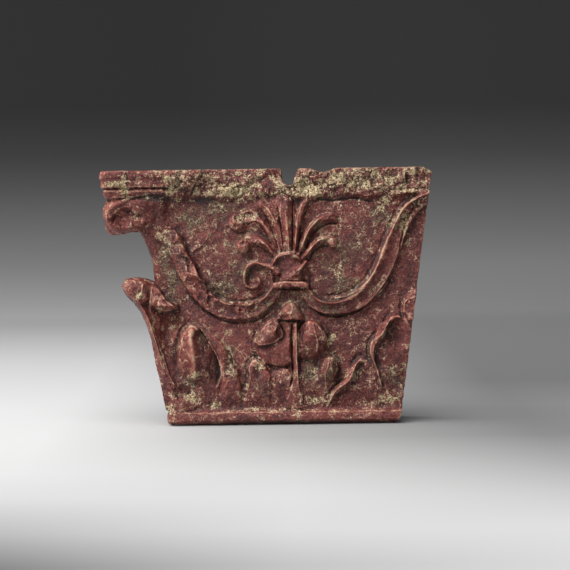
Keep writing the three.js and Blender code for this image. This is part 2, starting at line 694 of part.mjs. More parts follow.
const carving = [
  ...voluteBands(),
  ...innerScrolls(),
  ...palmette(),
  ...calyx(),
  ...centreLeaf(),
  ...rightLeaf(),
  ...cornerLeaf(),
  ...voluteStub(),
  brokenMoulding(),
];
const cutAway = [...losses(), ...leafHollows(), sawnSide()];
const carved = carving
  .reduce((stone, piece) => stone.add(piece), block().subtract(lostMoulding()))
  .trimByPlane([0, 0, 1], 0)
  .trimByPlane([0, 0, -1], -capitalHeight)
  .trimByPlane([0, -1, 0], -backY);
const finest = 0.14; // facets that stand out by less are merged
const finished = cutAway.reduce((stone, piece) => stone.subtract(piece), carved).simplify(finest);

function geometryOf(solid) {
  const mesh = solid.getMesh();
  const geometry = new THREE.BufferGeometry();
  geometry.setAttribute("position", new THREE.BufferAttribute(mesh.vertProperties, mesh.numProp));
  geometry.setIndex(new THREE.BufferAttribute(mesh.triVerts, 1));
  geometry.computeVertexNormals();
  return geometry;
}

const redMarble = new THREE.MeshStandardMaterial({ color: 0x6e3531, roughness: 0.62, metalness: 0 });
const capital = new THREE.Mesh(geometryOf(finished), redMarble);
capital.name = "capital";

const part = new THREE.Group();
part.add(capital);

export default part;
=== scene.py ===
# A pilaster capital in dark red marble: broken along the abacus and the left volute, sawn off at the
# right, worn, pitted and crusted. The CAD solid is copied, made fine, carved further and aged.
import math
import bpy
import numpy as np
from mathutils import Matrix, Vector


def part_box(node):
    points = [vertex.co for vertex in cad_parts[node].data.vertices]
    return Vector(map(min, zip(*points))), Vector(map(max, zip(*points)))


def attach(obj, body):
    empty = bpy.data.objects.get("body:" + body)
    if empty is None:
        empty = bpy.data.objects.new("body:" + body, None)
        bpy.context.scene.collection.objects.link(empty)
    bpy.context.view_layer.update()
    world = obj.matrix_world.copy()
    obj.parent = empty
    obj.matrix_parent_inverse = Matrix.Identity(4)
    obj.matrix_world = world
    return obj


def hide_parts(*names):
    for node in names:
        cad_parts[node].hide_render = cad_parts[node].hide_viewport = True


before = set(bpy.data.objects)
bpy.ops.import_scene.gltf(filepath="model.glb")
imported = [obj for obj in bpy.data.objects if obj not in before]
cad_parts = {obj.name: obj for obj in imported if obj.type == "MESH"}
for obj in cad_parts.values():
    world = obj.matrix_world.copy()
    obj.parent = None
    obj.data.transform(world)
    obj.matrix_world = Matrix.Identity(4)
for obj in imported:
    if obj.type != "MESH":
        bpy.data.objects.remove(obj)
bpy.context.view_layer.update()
mm = 0.001

# Places on the carved face are (across, up) in modules from the axis and from the top of the foot
blockHeight = 121.25  # modules
footHeight = 7.5  # modules
lowCorner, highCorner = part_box("capital")
module = (highCorner.z - lowCorner.z) / blockHeight
footTop = footHeight * module


def toPlace(points):
    return np.array(points, float) * module + (0, footTop)


def deselectAll():
    for one in bpy.context.selected_objects:
        one.select_set(False)


def makeActive(piece):
    deselectAll()
    piece.select_set(True)
    bpy.context.view_layer.objects.active = piece


def applyModifier(piece, kind, **settings):
    makeActive(piece)
    bpy.ops.object.modifier_add(type=kind)
    modifier = piece.modifiers[-1]
    for name, value in settings.items():
        setattr(modifier, name, value)
    bpy.ops.object.modifier_apply(modifier=modifier.name)


def readPoints(piece):
    flat = np.empty(3 * len(piece.data.vertices))
    piece.data.vertices.foreach_get("co", flat)
    return flat.reshape(-1, 3)


def readNormals(piece):
    flat = np.empty(3 * len(piece.data.vertices))
    piece.data.vertex_normals.foreach_get("vector", flat)
    return flat.reshape(-1, 3)


def writePoints(piece, points):
    piece.data.vertices.foreach_set("co", points.ravel())
    piece.data.update()


def smoothstep(value, low, high):
    share = np.clip((value - low) / (high - low), 0, 1)
    return share * share * (3 - 2 * share)


# A smooth line through the points, as many short straight steps
def lineThrough(points, stepsEach=6):
    p = toPlace(points)
    p = np.vstack([2 * p[0] - p[1], p, 2 * p[-1] - p[-2]])
    t = (np.arange(stepsEach) / stepsEach)[:, None]
    line = []
    for a, b, c, d in zip(p, p[1:], p[2:], p[3:]):
        squared = 2 * a - 5 * b + 4 * c - d
        cubed = 3 * b - a - 3 * c + d
        line.append(0.5 * (2 * b + (c - a) * t + squared * t**2 + cubed * t**3))
    return np.vstack([*line, p[-2:-1]])


# How far each point is from a line, on which side (left is positive) and how far along it, from 0 to 1
def measureFrom(line, x, z):
    best = np.full(len(x), 1e9)
    side = np.zeros(len(x))
    along = np.zeros(len(x))
    total = len(line) - 1
    for i, (start, end) in enumerate(zip(line, line[1:])):
        step = end - start
        length = math.hypot(*step) + 1e-12
        dx, dz = x - start[0], z - start[1]
        share = np.clip((dx * step[0] + dz * step[1]) / length**2, 0, 1)
        away = np.hypot(dx - share * step[0], dz - share * step[1])
        nearer = away < best
        best = np.where(nearer, away, best)
        side = np.where(nearer, step[0] * dz - step[1] * dx, side)
        along = np.where(nearer, (i + share) / total, along)
    return best, np.sign(side), along


# One stroke of the chisel: cuts the face in along a line, or raises it where the depth is negative.
# Across the line it is round, a sharp ridge, or a step that is sheer on the line and runs out to its left.
def stroke(points, front, line, width, depth, profile, fade=0.1):
    path = lineThrough(line)
    half = 0.5 * width * mm
    low, high = path.min(0) - half, path.max(0) + half
    x, z = points[:, 0], points[:, 2]
    near = np.flatnonzero(front & (x > low[0]) & (x < high[0]) & (z > low[1]) & (z < high[1]))
    away, side, along = measureFrom(path, x[near], z[near])
    inside = np.clip(1 - away / half, 0, 1)
    if profile == "round":
        inside = inside * inside * (3 - 2 * inside)
    elif profile == "step":
        inside = np.where(side > 0, inside, 0)
    ends = smoothstep(along, 0, fade) * smoothstep(1 - along, 0, fade)
    points[near, 1] += depth * mm * inside * ends
    return near, inside * ends


# How far each point is into an oval: 1 in the middle, 0 at the edge and beyond
def insideOval(points, place, halfSize, turn=0):
    centre = toPlace([place])[0]
    dx = (points[:, 0] - centre[0]) / module
    dz = (points[:, 2] - centre[1]) / module
    c, s = math.cos(math.radians(turn)), math.sin(math.radians(turn))
    return np.clip(1 - np.hypot((c * dx + s * dz) / halfSize[0], (c * dz - s * dx) / halfSize[1]), 0, 1)


# A dish pressed into the face, or a swelling where the depth is negative
def dish(points, front, place, halfSize, depth, turn=0):
    inside = insideOval(points, place, halfSize, turn) * front
    points[:, 1] += depth * mm * inside * inside * (3 - 2 * inside)


# One flat facet struck off: how deep it cuts below the highest point, and its slopes across and up.
# It fades in over the outer part of its oval.
def facet(points, front, place, halfSize, depth, slopes, turn=0, fade=0.3):
    inside = insideOval(points, place, halfSize, turn)
    chosen = np.flatnonzero(front & (inside > 0))
    centre = toPlace([place])[0]
    dx, dz = points[chosen, 0] - centre[0], points[chosen, 2] - centre[1]
    plane = points[chosen, 1].min() + depth * mm + slopes[0] * dx + slopes[1] * dz
    lowered = np.maximum(points[chosen, 1], plane)
    share = smoothstep(inside[chosen], 0, fade)
    points[chosen, 1] += share * (lowered - points[chosen, 1])


# Many small facets, as on broken stone: each point takes the plane of the nearest seed
def shatter(points, front, mask, size, depth, seed, jitter=0.45, least=0.02):
    chosen = np.flatnonzero(front & (mask > least))
    x, z = points[chosen, 0], points[chosen, 2]
    random = np.random.default_rng(seed)
    cell = size * mm
    columns = np.arange(x.min() - cell, x.max() + 2 * cell, cell)
    rows = np.arange(z.min() - cell, z.max() + 2 * cell, cell)
    seeds = np.array([(a, b) for a in columns for b in rows])
    seeds = seeds + random.uniform(-jitter, jitter, seeds.shape) * cell
    slopes = random.uniform(-1, 1, seeds.shape)
    steps = random.uniform(-0.5, 1, len(seeds))
    best = np.full(len(x), 1e9)
    drop = np.zeros(len(x))
    for (sx, sz), (ax, az), step in zip(seeds, slopes, steps):
        dx, dz = x - sx, z - sz
        away = dx * dx + dz * dz
        nearer = away < best
        best[nearer] = away[nearer]
        drop[nearer] = (step + (ax * dx + az * dz) / cell)[nearer]
    points[chosen, 1] += depth * mm * mask[chosen] * drop


capital = {
    "voxel": 0.64,  # mm, the finest detail that the mesh holds
    "softening": 7,  # passes that round the facets into worn carving
    "edgeSoftening": 2,  # and on the mouldings, which are crisper
    "carvedAbove": (0.0115, 0.014),  # m up, where the crisp foot gives way to the carving
    "carvedBelow": (0.174, 0.171),  # m up, where the crisp abacus gives way to it
    "leftEdge": (-0.07, -0.085),  # m across, where the rounded left edge begins
    "leftEdgeBelow": (0.178, 0.168),  # m up
    "fuller": 2.4,  # mm that the left edge gets back
    "meltPasses": 120,
    "frontUpTo": 0.25,  # how far a face may look back and still be carved
    "triangles": 196000,
    "creaseAngle": 48,
}

# Where the carving has melted into the bell, as dabs in modules: place, half width, half height, strength
melted = [
    [-59, 89, 7, 9, 1], [-55, 96, 6, 5, 0.8], [-17, 63, 3, 3, 0.4], [-76, 91, 7, 5, 1],
    [-67, 94, 6, 5, 0.9], [-68, 57, 4, 5, 0.5], [-45, 71, 4, 5, 1], [-40, 40, 6, 3, 0.8],
    [-50.5, 82, 3, 5, 0.8], [-54, 92, 5, 4, 0.9], [-40, 62, 2.4, 3, 0.5],
]

# The chisel work on each part of the carving. Lines and places are in modules, widths and depths in mm.
# A rim or a sharp ridge stands up by its height, a groove, step or dish is cut in by its depth, a facet is
# struck off flat. A fourth number is the share of a stroke over which it runs out at each end.
carving = {
    "abacus": {
        "dishes": [
            ([-48, 103], [7, 3.6], 1.6), ([-31, 101.6], [6, 2.4], 1.2), ([22, 110], [6, 4], 1.6),
            ([-56, 105], [4, 2.6], 1.4), ([46, 101], [6, 2.4], 1.2),
        ],
        "grooves": [
            ([[-90, 105.3], [-74, 105.3], [-54, 105.2]], 2, 1.7),
            ([[-90, 110], [-74, 110], [-60, 110]], 1.5, 0.5),
            ([[40, 103.1], [54.1, 103.3], [67.2, 103.6]], 2.8, 1.2),
            ([[-34, 105.6], [-24, 105.2], [-14, 106.2]], 1.8, 0.8),
            ([[-20, 100.4], [-12, 101.4], [-4, 99.8]], 2, 0.8),
            ([[12, 99.6], [22, 98.4], [32, 99.4], [40, 97]], 2.4, 1.2),
        ],
        "ridges": [
            ([[-90, 104], [-74, 104], [-56, 104]], 1.4, 0.5),
            ([[-84, 101], [-74, 101.4], [-64, 102.4]], 1.4, 0.6),
        ],
        "shattered": [
            ([[-50, 108, 9, 7, 1], [-26, 107, 22, 8, 1], [16, 107, 26, 8, 1], [52, 108, 20, 7, 0.8]],
              6, 1.6),
            ([[-30, 104, 22, 9, 0.8], [24, 104, 40, 8, 1], [50, 96, 12, 6, 0.8]], 2.6, 0.5),
        ],
    },
    "foot": {
        "dishes": [
            ([-12, -4], [9, 1.6], 0.6), ([30, -3.6], [7, 1.4], 0.5), ([-56, -3], [4, 3], 1.4),
            ([6, -2.4], [4, 1], 0.5), ([-34, -3.4], [5, 1.2], 0.4), ([54, -2.6], [4, 1.4], 0.6),
        ],
        "grooves": [
            ([[-58, -0.4], [-20, -0.3], [20, -0.3], [58, -0.4]], 1.6, 1),
            ([[-70, -8.4], [-20, -8.4], [20, -8.4], [70, -8.4]], 13, 4.6),
        ],
        "ridges": [([[-58, -1.3], [-20, -1.2], [20, -1.2], [58, -1.3]], 1.2, 0.5)],
        "shattered": [([[-56, -3, 5, 4, 1], [57, -3, 4, 4, 0.8], [10, -3, 50, 3, 0.25]], 3.4, 0.6)],
    },
    "rightBand": {
        "dishes": [
            ([48, 60], [3, 4], 1.1, -30), ([51.4, 85.6], [2.4, 2.8], 1.2), ([30, 46.6], [4, 1.8], 0.8),
            ([17, 47], [3.4, 2], 0.8),
        ],
        "grooves": [
            ([[66, 103], [59.4, 101.4], [53.8, 97.6], [50.2, 92.6], [47.2, 86], [44.4, 80.4], [42.2, 74.6],
              [39.8, 68.6], [36.2, 62.4], [32, 58.2], [26.8, 55], [20.8, 53.8], [13.4, 54.6]], 1.8, 0.9),
            ([[60, 95.4], [57, 91.4], [55.2, 86.8], [53, 79.2], [52.2, 73.9], [49, 65.3], [45.2, 58.6],
              [40.4, 52.4], [34.6, 47.2], [27.5, 44.2], [20.9, 43.4], [13.9, 45], [11, 49.4]], 1.9, 1.7),
            ([[62, 97], [57, 92.6], [53.6, 86.4]], 4.4, 1.5),
        ],
        "rims": [([[67, 101], [60.5, 98.8], [55.2, 95], [52.2, 90.4], [49.4, 84.6]], 4.6, 0.9)],
        "ridges": [
            ([[67, 101.1], [60.5, 99.1], [55, 95.4], [51.8, 90.6], [49, 84.7], [46.2, 79.3], [44, 74],
              [41.7, 67.6], [37.9, 61.2], [33.5, 56.9], [27.6, 53.5], [21.5, 52.2], [14, 52.8]], 2, 0.9),
        ],
        "shattered": [([[60, 94, 5, 6, 1], [46, 60, 4, 4, 0.7], [51, 86, 3, 4, 0.8]], 4, 0.8)],
    },
    "leftBand": {
        "dishes": [
            ([-46.4, 64.4], [5, 6], -1.5), ([-47.6, 74.6], [4, 4], 0.4), ([-52, 82], [3, 6], -0.9, -24),
        ],
        "facets": [
            ([-47.6, 65], [5, 4.6], 1.2, [-0.15, 0.15]), ([-41.4, 57.6], [5, 4.6], 1.4, [0.55, 0.3]),
            ([-56.6, 84], [4.4, 7], 1.7, [0.3, 0.1]), ([-51.4, 75.6], [4, 5], 1.4, [-0.3, 0.1]),
            ([-50, 69.6], [4, 4], 1.2, [0.35, 0.3]), ([-36, 51.6], [6, 4.4], 1.3, [-0.1, -0.35]),
            ([-25, 46.4], [7, 4.4], 0.9, [0.1, 0.2]), ([-13.6, 48.2], [5, 4.4], 0.9, [-0.35, 0.1]),
        ],
        "steps": [
            ([[-43.6, 67.6], [-42.6, 64.8], [-40.3, 60.6], [-37.6, 57.4]], 9, 1.4),
            ([[-53, 87.4], [-51.6, 83.7], [-49.9, 79.5], [-48.4, 77]], 6, 0.9, 0.5),
            ([[-44.4, 59.4], [-42, 57.4], [-39.2, 56.6]], 6, 1),
        ],
        "grooves": [
            ([[-49.2, 57.8], [-44.8, 51], [-36.2, 44.4], [-28.8, 41.6], [-21.4, 41.2], [-14, 42.8],
              [-7.8, 47.4]], 1.8, 1.4),
            ([[-51.6, 86.2], [-50.4, 83.6], [-48.9, 81.4], [-47.4, 78.6]], 3, 0.4),
            ([[-39.4, 61], [-35.6, 57], [-31.4, 53.4], [-26.3, 51.8], [-19.6, 51.7], [-14.3, 53.5],
              [-10.2, 56.8]], 1.8, 1),
        ],
        "rims": [
            ([[-55.4, 91.4], [-53, 85.6], [-51.5, 80.9], [-49.4, 76.2]], 4.4, 0.8),
            ([[-46, 73.6], [-45.2, 70.4], [-44.2, 67.6], [-42.4, 63.6], [-40, 59.6], [-36.4, 55.6]],
              3.4, 0.7),
        ],
        "ridges": [
            ([[-61.5, 88.5], [-59.8, 86.2], [-56.1, 79.7], [-53.5, 73.7], [-50.9, 66.7], [-47.8, 60.2]],
              1.2, 0.5),
            ([[-33.4, 51.6], [-26.4, 49.8], [-19.3, 49.7], [-13.7, 51.6], [-9.4, 55]], 2, 0.6),
        ],
        "shattered": [
            ([[-47, 64, 6, 7, 1], [-37, 52, 7, 5, 1], [-55, 81, 5, 9, 0.9], [-24, 46, 8, 3.4, 0.8]],
              7.4, 1.7),
            ([[-37, 53, 5, 4, 1], [-27, 46.6, 10, 3.4, 0.8], [-12, 49, 6, 4, 0.7], [-55, 86, 4, 5, 0.7],
              [-46, 60, 4, 5, 0.5]], 4, 0.9),
        ],
    },
    "palmette": {
        "dishes": [([23, 89.6], [4, 3], 0.8), ([22.4, 79.6], [3, 2.8], 1)],
        "facets": [([-22.6, 92], [3.4, 3.4], 0.9, [-0.4, -0.3]), ([-22, 80.6], [3, 3], 0.5, [-0.3, -0.4])],
        "grooves": [
            ([[-5.1, 96.2], [-3.8, 88.7], [-2.1, 74.6]], 1.7, 1.9),
            ([[-13.1, 95.4], [-9.4, 89.2], [-6.3, 81.2], [-4.5, 74.6]], 1.7, 1.6),
            ([[2.7, 100.8], [2.1, 89.5], [1.6, 74.5]], 1.5, 1.7),
            ([[9.4, 96], [6.3, 88.5], [5.2, 82], [4.7, 75.4]], 2.2, 1.9),
            ([[24.3, 87.3], [18.7, 87.4], [13, 84.2], [9.7, 79.1], [7.2, 74]], 2.2, 1.7),
            ([[20.9, 77.1], [15.2, 76.7], [11.4, 73.4], [9.1, 69.7]], 2, 1.5),
            ([[-19.8, 87.5], [-15.1, 88.8], [-10.9, 83.6], [-7.3, 77]], 2, 1.7),
            ([[-16.2, 77.6], [-12.9, 76.8], [-9.7, 73.3]], 1.8, 1.5),
            ([[-25, 83.3], [-19.3, 84.2], [-13.3, 83.6], [-9.1, 79.4]], 1.5, 0.9),
            ([[-23.2, 75.3], [-20.4, 74.4], [-17.1, 76.2]], 1.6, 1),
        ],
        "rims": [
            ([[-0.8, 100.8], [-0.7, 91.9], [-0.4, 82.5], [-0.3, 74.6]], 5, 0.7),
            ([[7.6, 99.3], [4.4, 91.4], [3.4, 82.9], [3, 74.5]], 3.2, 1.3),
            ([[23, 92], [16.4, 91.2], [11.2, 87], [8.3, 81.9], [5.8, 74.5]], 4, 1.5),
            ([[19.1, 81.3], [14.4, 80], [10.8, 76.3], [7.7, 71.6]], 4, 1.5),
            ([[-11.2, 97.2], [-7.7, 92], [-5.1, 83.1], [-3.3, 74.6]], 4, 0.9),
            ([[-23, 92.7], [-16.9, 93.8], [-12.2, 88.8], [-8.6, 81.7], [-5.9, 74.6]], 4.4, 1.4),
            ([[-21.3, 80], [-18.4, 81.8], [-14.2, 81.3], [-10.3, 77.5], [-6.9, 72.3]], 4.6, 1.9),
            ([[-22.7, 77.7], [-21.7, 80.5], [-18.9, 81.8], [-16.6, 79.9]], 4, 1),
        ],
        "ridges": [
            ([[8.1, 99.8], [4.7, 91.8], [3.2, 83.9]], 1.3, 0.6),
            ([[21.6, 93], [15.5, 92.1], [10.2, 87.5], [7.4, 82.4]], 1.3, 0.6),
            ([[18.1, 81.8], [13.4, 80.9], [9.6, 76.8]], 1.3, 0.6),
        ],
        "shattered": [([[-24, 90, 4.6, 4.6, 1], [22, 90, 5, 3, 0.6], [0, 97, 14, 4, 0.6]], 2.6, 0.7)],
    },
    "calyx": {
        "dishes": [
            ([3.8, 69.6], [2.4, 3], 1.1), ([-13.4, 63], [5, 5], -0.9), ([-4.6, 63.6], [2.4, 1.6], 0.6),
            ([1, 59], [9, 3], 0.5),
        ],
        "facets": [([6.4, 64.6], [3, 3.4], 0.7, [-0.2, -0.5])],
        "grooves": [
            ([[-6, 60.6], [-1, 60.9], [4, 60.8], [9, 60.6]], 1.3, 1.9),
            ([[-6.4, 57], [-1, 56.6], [4, 56.6], [9, 57]], 1.4, 1.9),
            ([[-6, 69], [-3.8, 72], [0, 72.9], [3, 72.7]], 1.3, 0.9),
            ([[-17.6, 66.2], [-19, 63.6], [-18.2, 60.6]], 1.3, 0.9),
            ([[2.6, 65], [5, 67.4], [6.6, 70.6]], 1.4, 1),
            ([[10, 66], [10, 61], [9.8, 56.4]], 1.8, 1.4),
        ],
        "rims": [
            ([[-3.1, 71], [-8.8, 66.6], [-13.2, 69.1], [-16.4, 70], [-19.8, 67.8], [-21.2, 63.6],
              [-20.6, 59.8]], 1.5, 0.4),
            ([[-9.3, 66.2], [-7.9, 61.1], [-9.4, 55.9]], 1.3, 0.4),
        ],
        "ridges": [
            ([[-7.2, 69.6], [-5, 73.1], [-1.2, 74.5], [3.6, 74.3], [5.8, 72.5]], 1.6, 0.9),
            ([[1.4, 63.6], [4.3, 64.2], [6.4, 67], [8.6, 70.6]], 1.8, 1),
        ],
        "shattered": [([[-2, 63, 6, 2.4, 0.6]], 2.4, 0.5)],
    },
    "centreLeaf": {
        "dishes": [
            ([-14.6, 14.6], [3, 5.6], 1.2), ([9.6, 14], [3.4, 5], 1.3), ([-7, 26], [5.4, 4.6], 0.8),
            ([12, 6], [4, 4.4], 0.9), ([-2.6, 8], [3.4, 6], 0.8), ([8, 22], [3, 3.4], 0.8),
        ],
        "facets": [
            ([-1.8, 46.6], [4.2, 4.8], 0.7, [-0.6, -0.35]), ([3.8, 46.4], [3.2, 4.8], 0.7, [0.7, 0.15]),
            ([-12.6, 35.6], [5, 7], 1.2, [-0.6, 0.1]), ([-8.6, 38.6], [4.4, 6], 1.2, [0.1, 0.5]),
            ([8.4, 37], [4.4, 8], 1.1, [-0.75, 0.1]), ([15.4, 38], [4, 6], 1.2, [0.75, 0.5]),
            ([14.4, 29], [5, 6], 1.1, [0.5, -0.45]), ([10, 27], [4, 5], 0.8, [-0.2, -0.5]),
            ([16, 19.6], [2.6, 6], 0.8, [-0.8, 0]), ([20, 19.4], [2.6, 6], 0.8, [0.9, 0]),
            ([18.6, 24.6], [3.4, 3], 0.8, [0, 0.7]),
        ],
        "steps": [
            ([[-6.3, 42.8], [-4, 38.5], [-3.2, 34.7], [-6.5, 32], [-11.7, 30.6], [-16.4, 29.8]], 15, 2),
            ([[-0.6, 20.4], [-3.8, 20.6], [-7.1, 20.8], [-9.9, 21.2]], 6, 1),
        ],
        "grooves": [
            ([[1.4, 42.4], [1.2, 33.3], [1.1, 23.9], [1.2, 16.4], [-0.2, 9.9]], 1.9, 2.2),
            ([[5, 42], [4.9, 34], [4.9, 24], [5.2, 16]], 1.4, 0.9),
            ([[-5.6, 42.6], [-2, 41.9], [1.8, 41.7], [5.8, 41.7]], 2.2, 2.2),
            ([[9.8, 44], [14, 41.6], [18, 37], [19.4, 32.4], [17, 27.4]], 1.9, 0.7),
            ([[6, 30], [6.4, 36], [8.4, 42]], 1.6, 1),
            ([[-6.6, 44.6], [-12, 42.4], [-15.8, 37.4], [-17.8, 31.6], [-16.4, 25.6], [-13, 21.6]], 1.6, 1),
            ([[-12.6, 25.4], [-18.2, 24.8], [-21, 20.6], [-20.8, 14.4], [-23, 8.6]], 1.6, 1),
            ([[19.4, 27], [23.2, 23.4], [23.8, 18.6], [21.6, 14], [18.4, 11]], 2, 0.7),
            ([[13.4, 24], [12.2, 19], [13.6, 14.4]], 1.8, 1.1),
            ([[-6.6, 15], [-8.6, 9], [-9.4, 2]], 1.5, 0.8),
            ([[-1.4, 18.6], [-4.6, 18.4], [-8, 18.6]], 2, 0.6),
        ],
        "rims": [
            ([[-13.6, 23.4], [-10.8, 20.4], [-9.4, 16.9], [-11, 12.1]], 2.6, 0.7),
            ([[-15.9, 30.2], [-12.1, 30.9], [-7.9, 31.5], [-4.1, 34.3]], 1.6, 0.7),
            ([[11, 42], [11.9, 36.9], [13.2, 31.2], [12.2, 25.1]], 2.2, 0.9),
        ],
        "ridges": [
            ([[3.1, 41.7], [3.2, 33.2], [3.3, 23.9], [3.6, 15.4], [4, 10.7]], 1.9, 1.1),
            ([[2, 15.4], [0.5, 9.8], [-1.2, 5.2], [-3.1, 1.9]], 1.4, 0.9),
            ([[3.5, 15.4], [4.2, 9.8], [6.1, 3.1]], 1.5, 1.1),
            ([[-16.2, 29.5], [-14.6, 25.1], [-11.5, 21.3], [-9.3, 18.5]], 1.5, 1),
            ([[-21.4, 7.9], [-19.1, 13.3], [-19.3, 19.7], [-17.4, 22.9], [-13.6, 23.9], [-11, 20.7]],
              1.6, 1.1),
            ([[-15.9, 31.2], [-14.4, 35.8], [-11.5, 39.5], [-7.7, 42.3]], 1.4, 0.8),
            ([[11.5, 42], [14.2, 38.7], [17, 34.9], [17.9, 32.6]], 1.4, 0.9),
            ([[18.7, 25.1], [18, 20.4], [16.5, 15.7], [17.2, 8]], 1.7, 1.1),
            ([[-5.8, 43.9], [-4.9, 47.2], [-1.9, 50.1], [1.5, 51.5], [3.8, 49.5], [5.3, 46.2]], 1.4, 0.6),
            ([[0.6, 51], [1.4, 47.4], [-0.4, 43.6]], 1.5, 0.6),
        ],
        "shattered": [
            ([[0.6, 46, 5, 4.4, 1], [-11, 37, 4, 4.4, 0.5], [10, 37, 4.4, 6, 0.8], [9, 14, 4, 8, 0.7]],
              2.6, 0.6),
        ],
    },
    "rightLeaf": {
        "dishes": [([56, 50.4], [2.6, 3.4], 0.8), ([50, 12], [6, 6], 0.7), ([36, 14], [4, 6], 0.7, -24)],
        "facets": [([58, 49], [4, 6], 0.8, [-0.3, -0.2])],
        "steps": [
            ([[49.4, 42.6], [46.8, 38], [45, 34.6], [41.2, 31], [39.8, 27.1], [40.5, 22.4], [42.6, 15]],
              19, 2.3),
            ([[35.6, 21.8], [33.2, 21.2], [31.8, 18.4], [30.2, 14.6], [28, 11.4], [23.6, 8.6], [20.8, 5.2]],
              14, 1.9),
        ],
        "grooves": [
            ([[48.4, 45.8], [45.6, 43], [43.6, 39.4], [42, 36.6], [38.4, 34], [36.6, 30.4], [36.6, 25.2],
              [38, 21]], 1.8, 1.1),
            ([[15.8, 4], [18.8, 8.4], [21.6, 11.4], [25.6, 14], [27.6, 17], [29.2, 21], [31.8, 24.6],
              [36, 25]], 1.8, 1.1),
            ([[53.2, 52.6], [52.2, 47.2], [53, 42.4]], 1.7, 1),
        ],
        "rims": [([[49, 43], [46.2, 40.6], [44.4, 36.6], [42.2, 33.8], [39.8, 31.8]], 3.6, 1)],
        "ridges": [
            ([[49.7, 44.1], [47.3, 42.2], [45.3, 38.4], [43.8, 35.5], [39.9, 32.7], [38.3, 29.9],
              [38.2, 25.6], [39.3, 22.7], [41.1, 17.9], [42.5, 12.1], [43.9, 9.2]], 1.7, 1),
            ([[49.7, 44.1], [54.4, 41.6], [56.8, 38.3], [58.6, 34.3]], 1.3, 0.8),
            ([[17.5, 2.9], [20.4, 7.2], [22.9, 10], [27.2, 12.8], [29.2, 16.1], [30.7, 19.9], [32.6, 22.8],
              [35, 23.2]], 2.2, 1.3),
            ([[60.9, 53.1], [55.2, 50.8], [54, 47.1], [54.6, 42.8], [55.7, 39.5]], 1.5, 0.7),
        ],
        "shattered": [([[60, 49, 5, 7, 1], [43.6, 36.4, 3.4, 6, 0.8], [27, 12.8, 6, 4, 0.5]], 3, 0.8)],
    },
    "cornerLeaf": {
        "dishes": [
            ([-57, 40], [5, 7], -1), ([-58.4, 27], [2.6, 7], 0.6), ([-71, 57.6], [3.4, 5], 0.6),
            ([-36, 22], [4, 9.6], 1.2, -8), ([-48, 9.4], [4.4, 3.4], 1.2), ([-29.4, 23], [2.2, 6], 0.9),
        ],
        "facets": [([-57.6, 53], [5, 4.6], 1.1, [0.2, 0.5])],
        "steps": [
            ([[-51, 47.8], [-55.5, 47.6], [-59.2, 47.2], [-62.4, 47.4]], 9, 1.5),
            ([[-35.4, 10.3], [-33.2, 16.9], [-34.2, 24.4], [-37, 30.1], [-39.7, 34.8], [-42.9, 39.5]],
              22, 4.6),
        ],
        "grooves": [
            ([[-51.6, 4], [-54.6, 9], [-57.6, 14.6], [-59.8, 21], [-62, 27.6], [-64, 34.2], [-65.6, 39.6],
              [-66.8, 45]], 1.5, 1),
            ([[-53.8, 12], [-54, 28], [-52.6, 35.6], [-50.8, 39.6], [-47.6, 42]], 3, 0.8),
            ([[-37.6, 38], [-33.6, 34], [-30.2, 31], [-27.8, 25.6], [-25.4, 17]], 1.4, 0.7),
            ([[-50, 6], [-46, 10], [-42, 11]], 2, 1),
        ],
        "rims": [
            ([[-45.3, 41.4], [-46.3, 35.8], [-45.9, 28.3], [-45.1, 19.9], [-44.7, 12.3]], 12, 3),
            ([[-68.4, 60], [-67.6, 54.9], [-65.3, 48.3], [-63.5, 42.6]], 5, 0.8),
            ([[-62.4, 50.8], [-57, 50.2], [-52, 49.8]], 6, 2),
        ],
        "ridges": [
            ([[-65, 44.6], [-64, 39.2], [-62.4, 34.3], [-60.4, 27.8], [-58.3, 21.4], [-56.2, 15.4],
              [-53.1, 9.9], [-50.4, 5.6]], 1.6, 1.1),
            ([[-68.4, 61], [-69.2, 56.3], [-71.4, 52.1]], 1.7, 1.2),
            ([[-64, 61.6], [-64.6, 56.7], [-65.4, 51], [-65.2, 45.4]], 1.9, 1),
            ([[-62.6, 59], [-60.1, 55.7], [-57.8, 52.4], [-54.5, 50], [-51.7, 48.9]], 1.5, 0.8),
            ([[-52.2, 25.6], [-51.7, 28.8], [-50.6, 34.1], [-48.9, 37.9], [-46.7, 40], [-44, 39.2],
              [-42.5, 36.7]], 1.5, 0.9),
            ([[-36, 36.6], [-32, 32.6], [-29.4, 29.6], [-27, 25.4], [-26.6, 18]], 1.5, 0.8),
        ],
        "shattered": [
            ([[-58, 53, 4.4, 4.4, 0.7], [-73, 58, 3.4, 4, 0.5], [-29, 18, 5, 12, 0.6], [-46, 36, 3, 4, 0.4],
              [-56, 40, 4, 6, 0.5]], 3, 0.7),
        ],
    },
    "volute": {
        "dishes": [([-77, 92], [8, 6], -1.2), ([-63.6, 94], [9, 7], 3.4), ([-58, 86], [7, 6], 1.4)],
        "facets": [([-78, 90], [5, 5], 0.9, [-0.4, 0.35]), ([-71, 90], [5, 4], 0.8, [0.15, 0.4])],
        "grooves": [([[-58.5, 101.6], [-65, 101.7], [-72.1, 100.4], [-76.8, 97.7]], 3.6, 0.9)],
        "rims": [
            ([[-69.7, 103.2], [-76.3, 102.8], [-80.1, 101.5], [-83.2, 97.7], [-84.9, 93.6], [-84.4, 88.9],
              [-82.6, 85.1]], 3.4, 0.8),
            ([[-81.2, 84.1], [-77, 85], [-72.8, 86.3], [-69, 85.4]], 3, 0.8),
        ],
        "shattered": [([[-74, 91, 11, 7, 1], [-58, 92, 8, 9, 0.8]], 5, 1.2)],
    },
    "bell": {
        "grooves": [
            ([[-35.8, 84.6], [-36.6, 82], [-39, 77.8], [-43.4, 75]], 1.4, 0.8),
            ([[49.2, 54.2], [42.1, 50], [37.3, 48]], 0.9, 0.35),
        ],
